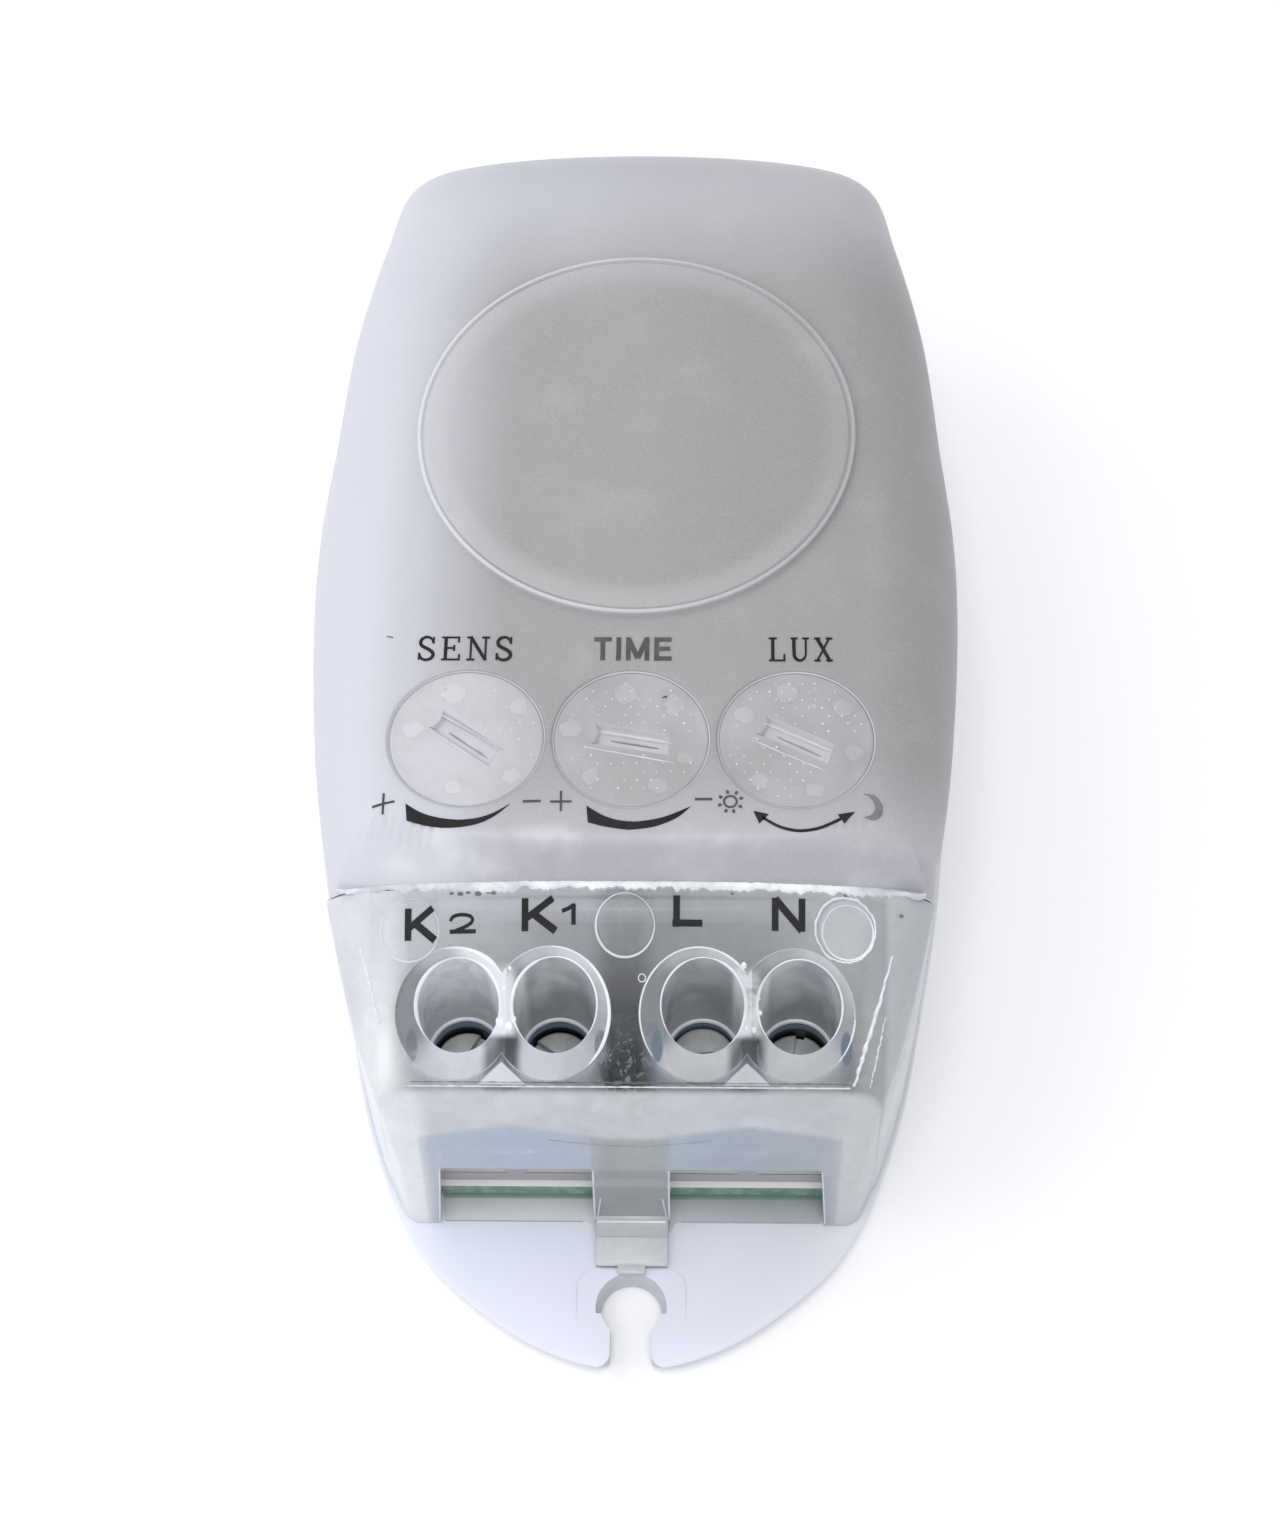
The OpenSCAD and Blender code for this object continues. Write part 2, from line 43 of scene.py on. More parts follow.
# ---------------------------------------------------------------- outlines, as in the CAD, in mm
FOOT = [(23.0, -30), (24.6, -22), (26.2, -12), (27.3, 0), (27.4, 10), (26.6, 20), (25.6, 31.5),
        (23.6, 42.4), (21.4, 50.0), (14.4, 52.9), (0, 53.6)]
WALL = [(22.8, -30), (24.3, -22), (25.9, -12), (26.95, 0), (27.1, 10), (26.3, 20), (25.3, 31.5),
        (23.2, 42.2), (20.9, 49.4), (14.0, 51.9), (0, 52.7)]
TOP = [(18.3, -30), (18.8, -22), (19.3, -12), (19.8, 2), (19.2, 10), (17.9, 20), (16.4, 31),
       (14.2, 36.6), (10.9, 40.2), (6.2, 42.0), (0, 42.6)]
BASE = [(0, -54.2), (4.5, -53.6), (9.0, -51.7), (13.3, -48.7), (16.6, -45.6), (19.1, -41.9),
        (21.0, -37.6), (23.1, -31.0), (24.9, -22), (26.6, -12), (27.7, 0), (27.8, 10), (27.0, 20),
        (26.0, 31.5), (24.1, 42.4), (21.9, 50.4), (14.6, 53.3), (0, 54)]
BASE_T, TOP_Z, WALL_Z = 2.0, 32.4, 25.0
SEAM_Y, SEAM_Z, BEVEL = -24.3, 30.15, 0.8
DISC_Y, DISC_R = 17.5, 18.5
KNOB_X, KNOB_Y = (-13.1, 0.0, 13.1), -12.5
POLE_X, POLE_Y = (-13.3, -5.8, 5.8, 13.3), -32.8


def half(points, n):
    p = [np.array(q, float) for q in points]

    def at(i):
        if i < 0:
            return np.array([-p[1][0], p[1][1]]) if p[0][0] == 0 else 2*p[0] - p[1]
        if i >= len(p):
            return np.array([-p[-2][0], p[-2][1]])
        return p[i]

    out = []
    for i in range(len(p) - 1):
        a, b, c, d = at(i - 1), at(i), at(i + 1), at(i + 2)
        for j in range(n):
            t = j/n
            out.append(0.5*(2*b + (c - a)*t + (2*a - 5*b + 4*c - d)*t*t + (3*b - a - 3*c + d)*t**3))
    out.append(p[-1])
    return np.array(out)


def loop_of(h):
    left = [(-x, y) for x, y in h[::-1] if x > 1e-9]
    return np.array([tuple(q) for q in h] + left)


def ray_hits(poly, centre, angles):
    """Distance from centre to the closed polygon along each angle."""
    a = poly - centre
    b = np.roll(a, -1, axis=0)
    out = []
    for t in angles:
        d = np.array([math.cos(t), math.sin(t)])
        e = b - a
        den = d[0]*e[:, 1] - d[1]*e[:, 0]
        ok = np.abs(den) > 1e-12
        den = np.where(ok, den, 1)
        r = (a[:, 0]*e[:, 1] - a[:, 1]*e[:, 0])/den
        s = (a[:, 0]*d[1] - a[:, 1]*d[0])/den
        hit = ok & (r > 0) & (s >= -1e-9) & (s <= 1 + 1e-9)
        out.append(float(r[hit].max()))
    return np.array(out)


def smin(a, b, k):
    h = np.clip(0.5 + 0.5*(b - a)/k, 0, 1)
    return b*(1 - h) + a*h - k*h*(1 - h)


CROWN_X = (0, 8, 10, 12, 15, 18, 21, 23.6, 27)
CROWN_D = (0, 0, 0.07, 0.2, 0.45, 0.75, 1.3, 2.1, 3.4)


def bevel_z(x, y):
    return SEAM_Z + (y - SEAM_Y)*BEVEL - np.interp(np.abs(x), CROWN_X, CROWN_D)


# ---------------------------------------------------------------- mesh helpers
def mesh_object(name, verts, faces, mats=(), face_mats=None, smooth=True, angle=32.0, merge=0.0):
    me = bpy.data.meshes.new(name)
    me.from_pydata([tuple(float(c)*MM for c in v) for v in verts], [], [tuple(f) for f in faces])
    ob = bpy.data.objects.new(name, me)
    bpy.context.scene.collection.objects.link(ob)
    for m in mats:
        me.materials.append(m)
    if face_mats is not None:
        me.polygons.foreach_set("material_index", np.array(face_mats, dtype=np.int32))
    bm = bmesh.new()
    bm.from_mesh(me)
    if merge:
        bmesh.ops.remove_doubles(bm, verts=bm.verts, dist=merge*MM)
        bmesh.ops.dissolve_degenerate(bm, edges=bm.edges, dist=1e-8)
    bmesh.ops.recalc_face_normals(bm, faces=bm.faces)
    bm.to_mesh(me)
    bm.free()
    shade(ob, smooth, angle)
    return ob


def shade(ob, smooth=True, angle=32.0):
    me = ob.data
    me.polygons.foreach_set("use_smooth", [smooth]*len(me.polygons))
    if smooth:
        me.set_sharp_from_angle(angle=math.radians(angle))
    me.update()


def apply_all(ob):
    dg = bpy.context.evaluated_depsgraph_get()
    me = bpy.data.meshes.new_from_object(ob.evaluated_get(dg), preserve_all_data_layers=True, depsgraph=dg)
    old = ob.data
    ob.modifiers.clear()
    ob.data = me
    me.name = ob.name
    bpy.data.meshes.remove(old)


def boolean(ob, cutter, how="DIFFERENCE", solver="EXACT"):
    m = ob.modifiers.new("b", "BOOLEAN")
    m.operation = how
    m.solver = solver
    m.object = cutter
    m.material_mode = "TRANSFER"
    apply_all(ob)
    bpy.data.objects.remove(cutter)


def join(name, obs):
    """One object from several; material slots are merged by material."""
    mats, verts, faces, idx = [], [], [], []
    for ob in obs:
        me = ob.data
        base = len(verts)
        own = [m for m in me.materials] or [None]
        for m in own:
            if m not in mats:
                mats.append(m)
        verts += [tuple(v.co) for v in me.vertices]
        for p in me.polygons:
            faces.append(tuple(base + v for v in p.vertices))
            idx.append(mats.index(own[min(p.material_index, len(own) - 1)]))
    me = bpy.data.meshes.new(name)
    me.from_pydata(verts, [], faces)
    for m in mats:
        me.materials.append(m)
    me.polygons.foreach_set("material_index", np.array(idx, dtype=np.int32))
    for ob in obs:
        bpy.data.objects.remove(ob)
    ob = bpy.data.objects.new(name, me)
    bpy.context.scene.collection.objects.link(ob)
    me.update()
    return ob


def lathe(name, profile, centre=(0, 0), n=96, mats=(), angle=32.0, closed=True):
    """Turns a profile of (r, z) about a vertical axis. A point with r = 0 closes it."""
    verts, faces, rings = [], [], []
    for r, z in profile:
        if r <= 1e-9:
            rings.append([len(verts)])
            verts.append((centre[0], centre[1], z))
        else:
            rings.append(list(range(len(verts), len(verts) + n)))
            for i in range(n):
                t = 2*math.pi*i/n
                verts.append((centre[0] + r*math.cos(t), centre[1] + r*math.sin(t), z))
    pairs = list(zip(rings, rings[1:])) + ([(rings[-1], rings[0])] if closed and len(rings[0]) > 1 else [])
    for a, b in pairs:
        for i in range(n):
            j = (i + 1) % n
            if len(a) == 1 and len(b) == 1:
                continue
            if len(a) == 1:
                faces.append((a[0], b[i], b[j]))
            elif len(b) == 1:
                faces.append((a[i], b[0], a[j]))
            else:
                faces.append((a[i], b[i], b[j], a[j]))
    return mesh_object(name, verts, faces, mats, angle=angle)


def box(name, lo, hi, bev=0.0, mats=(), seg=2):
    x0, y0, z0 = lo
    x1, y1, z1 = hi
    v = [(x0, y0, z0), (x1, y0, z0), (x1, y1, z0), (x0, y1, z0), (x0, y0, z1), (x1, y0, z1), (x1, y1, z1), (x0, y1, z1)]
    f = [(0, 3, 2, 1), (4, 5, 6, 7), (0, 1, 5, 4), (1, 2, 6, 5), (2, 3, 7, 6), (3, 0, 4, 7)]
    ob = mesh_object(name, v, f, mats, smooth=False)
    if bev:
        m = ob.modifiers.new("v", "BEVEL")
        m.width = bev*MM
        m.segments = seg
        apply_all(ob)
        shade(ob, True, 50)
    return ob


def prism(name, pts, axis, a, b, bev=0.0, mats=(), seg=2):
    """A polygon pushed along an axis: 'x' with (y, z) points, 'y' with (x, z), 'z' with (x, y)."""
    def put(p, t):
        return {"x": (t, p[0], p[1]), "y": (p[0], t, p[1]), "z": (p[0], p[1], t)}[axis]
    n = len(pts)
    v = [put(p, a) for p in pts] + [put(p, b) for p in pts]
    f = [tuple(range(n)), tuple(range(2*n - 1, n - 1, -1))] + [(i, (i + 1) % n, n + (i + 1) % n, n + i) for i in range(n)]
    ob = mesh_object(name, v, f, mats, smooth=False)
    if bev:
        m = ob.modifiers.new("v", "BEVEL")
        m.width = bev*MM
        m.segments = seg
        m.limit_method = "ANGLE"
        m.angle_limit = math.radians(30)
        apply_all(ob)
    shade(ob, True, 35)
    return ob


def tube(name, path, radius, closed=False, n=8, mats=(), squash=1.0):
    """A thin bead along a path; radius may be a list."""
    path = [np.array(p, float) for p in path]
    m = len(path)
    rad = radius if hasattr(radius, "__len__") else [radius]*m
    verts, faces = [], []
    last = None
    for i, p in enumerate(path):
        a = path[(i - 1) % m] if closed or i > 0 else p
        b = path[(i + 1) % m] if closed or i < m - 1 else p
        t = b - a
        t = t/(np.linalg.norm(t) + 1e-12)
        up = np.array([0, 0, 1.0]) if last is None else last
        s = np.cross(t, up)
        if np.linalg.norm(s) < 1e-4:
            s = np.cross(t, np.array([1.0, 0.1, 0]))
        s = s/np.linalg.norm(s)
        u = np.cross(s, t)
        last = u
        for k in range(n):
            w = 2*math.pi*k/n
            verts.append(p + rad[i]*(math.cos(w)*s + squash*math.sin(w)*u))
    for i in range(m if closed else m - 1):
        j = (i + 1) % m
        for k in range(n):
            l = (k + 1) % n
            faces.append((i*n + k, i*n + l, j*n + l, j*n + k))
    if not closed:
        faces.append(tuple(range(n - 1, -1, -1)))
        faces.append(tuple((m - 1)*n + k for k in range(n)))
    return mesh_object(name, verts, faces, mats, angle=60)


# ---------------------------------------------------------------- materials
class Tree:
    """A small help for building node trees."""
    def __init__(self, name):
        self.mat = bpy.data.materials.new(name)
        self.mat.use_nodes = True
        self.t = self.mat.node_tree
        self.t.nodes.clear()
        self.out = self.add("ShaderNodeOutputMaterial")

    def add(self, kind, **sets):
        n = self.t.nodes.new(kind)
        for k, v in sets.items():
            if k.startswith("in_"):
                key = k[3:]
                key = int(key) if key.isdigit() else key.replace("_", " ")
                n.inputs[key].default_value = v
            else:
                setattr(n, k, v)
        return n

    def link(self, a, b):
        self.t.links.new(a, b)

    def math(self, op, a, b=None, c=None, clamp=False):
        n = self.add("ShaderNodeMath", operation=op, use_clamp=clamp)
        for i, v in enumerate((a, b, c)):
            if v is None:
                continue
            if isinstance(v, (int, float)):
                n.inputs[i].default_value = v
            else:
                self.link(v, n.inputs[i])
        return n.outputs[0]

    def step(self, v, lo, hi):
        n = self.add("ShaderNodeMapRange", interpolation_type="SMOOTHSTEP")
        self.link(v, n.inputs[0])
        n.inputs[1].default_value = lo
        n.inputs[2].default_value = hi
        return n.outputs[0]

    def mix(self, f, a, b, kind="MIX"):
        n = self.add("ShaderNodeMix", data_type="RGBA", blend_type=kind)
        if isinstance(f, (int, float)):
            n.inputs[0].default_value = f
        else:
            self.link(f, n.inputs[0])
        for i, v in ((6, a), (7, b)):
            if isinstance(v, tuple):
                n.inputs[i].default_value = (*v[:3], 1)
            else:
                self.link(v, n.inputs[i])
        return n.outputs[2]

    def coords(self):
        tc = self.add("ShaderNodeTexCoord")
        sx = self.add("ShaderNodeSeparateXYZ")
        self.link(tc.outputs["Object"], sx.inputs[0])
        return tc.outputs["Object"], sx.outputs[0], sx.outputs[1], sx.outputs[2]

    def noise(self, vec, scale, detail=3.0, rough=0.55, dist=0.0):
        n = self.add("ShaderNodeTexNoise")
        n.inputs["Scale"].default_value = scale
        n.inputs["Detail"].default_value = detail
        n.inputs["Roughness"].default_value = rough
        n.inputs["Distortion"].default_value = dist
        self.link(vec, n.inputs["Vector"])
        return n.outputs[0]

    def bump(self, h, strength, dist):
        n = self.add("ShaderNodeBump")
        n.inputs["Strength"].default_value = strength
        n.inputs["Distance"].default_value = dist
        self.link(h, n.inputs["Height"])
        return n.outputs[0]

    def shader(self, **kw):
        p = self.add("ShaderNodeBsdfPrincipled")
        for k, v in kw.items():
            key = k.replace("_", " ")
            s = p.inputs[key]
            if isinstance(v, (int, float, tuple)):
                s.default_value = v
            else:
                self.link(v, s)
        return p


def srgb(r, g, b):
    def f(c):
        c = c/255
        return c/12.92 if c <= 0.04045 else ((c + 0.055)/1.055)**2.4
    return (f(r), f(g), f(b))


def plain(name, col, col2, scale=400.0, rough=0.4, bump=0.15, metal=0.0, spec=0.5, coat=0.0, sss=0.0, dist=0.00003, detail=3.0):
    """Moulded plastic, metal or coating: two close tones in a fine noise, with a light surface texture."""
    T = Tree(name)
    vec, x, y, z = T.coords()
    n = T.noise(vec, scale, detail)
    big = T.noise(vec, scale*0.12, 2.0)
    f = T.math("ADD", T.math("MULTIPLY", n, 0.5), T.math("MULTIPLY", big, 0.5))
    c = T.mix(T.step(f, 0.3, 0.7), col, col2)
    r = T.math("MULTIPLY_ADD", n, 0.16, rough - 0.08)
    p = T.shader(Base_Color=c, Roughness=r, Metallic=metal, Specular_IOR_Level=spec, Coat_Weight=coat)
    if sss:
        p.inputs["Subsurface Weight"].default_value = sss
        p.inputs["Subsurface Radius"].default_value = (0.004, 0.004, 0.0045)
        p.inputs["Subsurface Scale"].default_value = 1.0
    T.link(T.bump(n, bump, dist), p.inputs["Normal"])
    T.link(p.outputs[0], T.out.inputs[0])
    return T.mat


def frosted():
    """The main cover: frosted plastic with painted light and shade: lighter towards the light on the left, darker on
    the right, greyer over the shaded inside, with a painted highlight on its raised ring.
    """
    T = Tree("frosted_plastic_look")
    vec, x, y, z = T.coords()
    fine = T.noise(vec, 1400.0, 3.0)
    cloud = T.noise(vec, 55.0, 4.0, 0.6, 0.4)
    cloud2 = T.noise(vec, 160.0, 3.0)
    # painted shade: the shaded inside seen through the flat top, kept lighter towards the left, most at the north-west
    # and south-west, as painted light
    left = T.math("ADD", T.math("MULTIPLY", T.step(x, -0.0230, -0.0155), 0.40), T.math("MULTIPLY", T.step(x, -0.0182, -0.0095), 0.60))
    north = T.math("SUBTRACT", 1.0, T.step(y, 0.030, 0.046))
    south = T.step(y, -0.0225, -0.0125)
    inside = T.math("MULTIPLY", T.math("MULTIPLY", left, T.math("MULTIPLY_ADD", north, 0.45, 0.55)), T.math("MULTIPLY_ADD", south, 0.42, 0.58))
    nw = T.math("MULTIPLY", T.step(y, 0.0270, 0.0420), T.math("SUBTRACT", 1.0, T.step(x, -0.0110, 0.0060)))
    inside = T.math("MULTIPLY", inside, T.math("MULTIPLY_ADD", nw, -0.30, 1.0))
    # painted shade on the right, away from the light, weaker at the south end, towards the north end and down the side
    # walls
    right = T.math("MULTIPLY", T.step(x, 0.003, 0.026), T.math("MULTIPLY_ADD", T.step(y, -0.0215, -0.0080), 0.76, 0.24))
    sw = T.math("MULTIPLY", T.math("SUBTRACT", 1.0, T.step(y, -0.0195, -0.0115)), T.math("SUBTRACT", 1.0, T.step(x, -0.0165, -0.0085)))
    inside = T.math("MULTIPLY", inside, T.math("MULTIPLY_ADD", sw, -0.55, 1.0))
    over = T.step(z, 0.0185, 0.0270)
    inside = T.math("MULTIPLY", inside, T.math("MULTIPLY_ADD", over, 0.80, 0.20))
    right = T.math("MULTIPLY", right, T.math("MULTIPLY_ADD", over, 0.85, 0.15))
    wob = T.math("MULTIPLY_ADD", cloud, 0.30, -0.15)
    inside = T.math("ADD", inside, T.math("MULTIPLY", wob, 0.35), clamp=True)
    c = T.mix(inside, srgb(205, 206, 216), srgb(153, 153, 153))
    topright = T.step(y, 0.028, 0.048)
    c = T.mix(T.math("MULTIPLY", right, T.math("MULTIPLY_ADD", topright, -0.60, 0.62)), c, srgb(140, 140, 141))
    # painted highlight at and just inside the raised ring, and on its left outside, stronger towards the light on the
    # left; painted shade on the disc's right
    yy = T.math("SUBTRACT", y, 0.0175)
    rr = T.math("SQRT", T.math("ADD", T.math("MULTIPLY", x, x), T.math("MULTIPLY", yy, yy)))
    ringb = T.math("MULTIPLY", T.step(rr, 0.01815, 0.01825), T.math("SUBTRACT", 1.0, T.step(rr, 0.01848, 0.01860)))
    inb = T.math("MULTIPLY", T.step(rr, 0.0152, 0.0172), T.math("SUBTRACT", 1.0, T.step(rr, 0.01790, 0.01800)))
    lefty = T.math("SUBTRACT", 1.0, T.step(T.math("ADD", x, T.math("MULTIPLY", yy, 0.3)), -0.016, 0.020))
    disc_right = T.math("MULTIPLY", T.step(x, -0.002, 0.011), T.math("SUBTRACT", 1.0, T.step(rr, 0.0150, 0.0180)))
    c = T.mix(T.math("MULTIPLY", disc_right, 0.42), c, srgb(140, 140, 141))
    c = T.mix(T.math("MULTIPLY", ringb, T.math("MULTIPLY_ADD", lefty, 0.44, 0.14)), c, srgb(222, 223, 227))
    c = T.mix(T.math("MULTIPLY", inb, T.math("MULTIPLY_ADD", lefty, 0.26, 0.08)), c, srgb(202, 202, 205))
    # milky patches in the band before the seam
    band = T.math("MULTIPLY", T.math("SUBTRACT", 1.0, T.step(y, -0.0212, -0.0195)), T.step(cloud2, 0.48, 0.72))
    c = T.mix(T.math("MULTIPLY", band, 0.5), c, srgb(226, 226, 232))
    lowbevel = T.math("MULTIPLY", T.math("SUBTRACT", 1.0, T.step(y, -0.0226, -0.0208)), T.step(x, -0.0150, -0.0050))
    c = T.mix(T.math("MULTIPLY", lowbevel, T.math("MULTIPLY_ADD", cloud2, 0.30, 0.44)), c, srgb(150, 150, 157))
    c = T.mix(T.math("MULTIPLY_ADD", cloud, 0.10, -0.02), c, srgb(190, 191, 198))
    grain = T.noise(vec, 4200.0, 3.0, 0.6)
    c = T.mix(T.math("MULTIPLY", T.step(grain, 0.35, 0.75), 0.07), c, srgb(232, 232, 234))
    c = T.mix(T.math("MULTIPLY", T.step(cloud2, 0.50, 0.80), 0.07), c, srgb(228, 228, 232))
    r = T.math("MULTIPLY_ADD", fine, 0.14, 0.36)
    p = T.shader(Base_Color=c, Roughness=r, Specular_IOR_Level=0.42, Subsurface_Weight=0.25)
    p.inputs["Subsurface Radius"].default_value = (0.0035, 0.0035, 0.004)
    p.inputs["Subsurface Scale"].default_value = 1.0
    h = T.math("ADD", T.math("MULTIPLY", fine, 0.6), T.math("MULTIPLY", cloud2, 0.6))
    T.link(T.bump(h, 0.12, 0.00004), p.inputs["Normal"])
    T.link(p.outputs[0], T.out.inputs[0])
    return T.mat


def base_look():
    """White base plate with a cool tint, greyer on its right and under the board as painted shade."""
    T = Tree("base_plastic_look")
    vec, x, y, z = T.coords()
    n = T.noise(vec, 300.0, 3.0)
    cloud = T.noise(vec, 60.0, 3.0)
    c = T.mix(cloud, srgb(217, 221, 236), srgb(224, 226, 239))
    # painted shade on the right, away from the light
    right = T.step(x, -0.004, 0.020)
    c = T.mix(T.math("MULTIPLY", right, 0.75), c, srgb(212, 213, 219))
    # painted shade on the floor under the board
    under = T.math("MULTIPLY", T.step(y, -0.0419, -0.0414), T.math("SUBTRACT", 1.0, T.step(T.math("ABSOLUTE", x), 0.0170, 0.0178)))
    c = T.mix(T.math("MULTIPLY", under, T.step(z, 0.0012, 0.0016)), c, T.mix(right, srgb(228, 231, 236), srgb(192, 197, 201)))
    p = T.shader(Base_Color=c, Roughness=T.math("MULTIPLY_ADD", n, 0.14, 0.36), Specular_IOR_Level=0.45, Subsurface_Weight=0.15)
    p.inputs["Subsurface Radius"].default_value = (0.004, 0.004, 0.0045)
    p.inputs["Subsurface Scale"].default_value = 1.0
    T.link(T.bump(n, 0.12, 0.00003), p.inputs["Normal"])
    T.link(p.outputs[0], T.out.inputs[0])
    return T.mat


def pad_look():
    """Grey floor under the wire openings as painted shade, darker to the right, with the board's green painted in as a
    reflection near its back edge.
    """
    T = Tree("pad_look")
    vec, x, y, z = T.coords()
    n = T.noise(vec, 500.0, 3.0)
    # painted shade, darker to the right
    right = T.step(x, -0.004, 0.012)
    c = T.mix(right, T.mix(n, srgb(202, 206, 210), srgb(210, 213, 217)), T.mix(n, srgb(166, 171, 174), srgb(176, 181, 184)))
    # painted reflection of the board's green
    near = T.step(y, -0.03970, -0.03955)
    c = T.mix(T.math("MULTIPLY", near, 0.75), c, T.mix(n, srgb(128, 168, 148), srgb(146, 184, 164)))
    p = T.shader(Base_Color=c, Roughness=T.math("MULTIPLY_ADD", n, 0.14, 0.3), Specular_IOR_Level=0.45)
    T.link(T.bump(n, 0.12, 0.00003), p.inputs["Normal"])
    T.link(p.outputs[0], T.out.inputs[0])
    return T.mat


def pole_terms(T, x, y):
    """Distance to the pair's middle line, and the place about the nearer pole, in metres."""
    ax = T.math("ABSOLUTE", x)
    mid = T.math("ABSOLUTE", T.math("SUBTRACT", ax, 0.00955))
    dx = T.math("SUBTRACT", mid, 0.00375)
    dy = T.math("ADD", y, 0.0328)
    r = T.math("SQRT", T.math("ADD", T.math("MULTIPLY", dx, dx), T.math("MULTIPLY", dy, dy)))
    return ax, mid, dx, dy, r


def clear_mix(T, haze, c, rough, normal=None, gloss=0.6, tint=(0.97, 0.975, 0.98), spec=0.35):
    p = T.shader(Base_Color=c, Roughness=rough, Specular_IOR_Level=spec)
    if normal is not None:
        T.link(normal, p.inputs["Normal"])
    tr = T.add("ShaderNodeBsdfTransparent")
    tr.inputs[0].default_value = (*tint, 1)
    gl = T.add("ShaderNodeBsdfGlossy")
    gl.inputs["Roughness"].default_value = 0.12
    gl.inputs[0].default_value = (1, 1, 1, 1)
    fr = T.add("ShaderNodeFresnel")
    fr.inputs[0].default_value = 1.38
    m0 = T.add("ShaderNodeMixShader")
    T.link(T.math("MULTIPLY", fr.outputs[0], gloss), m0.inputs[0])
    T.link(tr.outputs[0], m0.inputs[1])
    T.link(gl.outputs[0], m0.inputs[2])
    m = T.add("ShaderNodeMixShader")
    T.link(haze, m.inputs[0])
    T.link(m0.outputs[0], m.inputs[1])
    T.link(p.outputs[0], m.inputs[2])
    T.link(m.outputs[0], T.out.inputs[0])


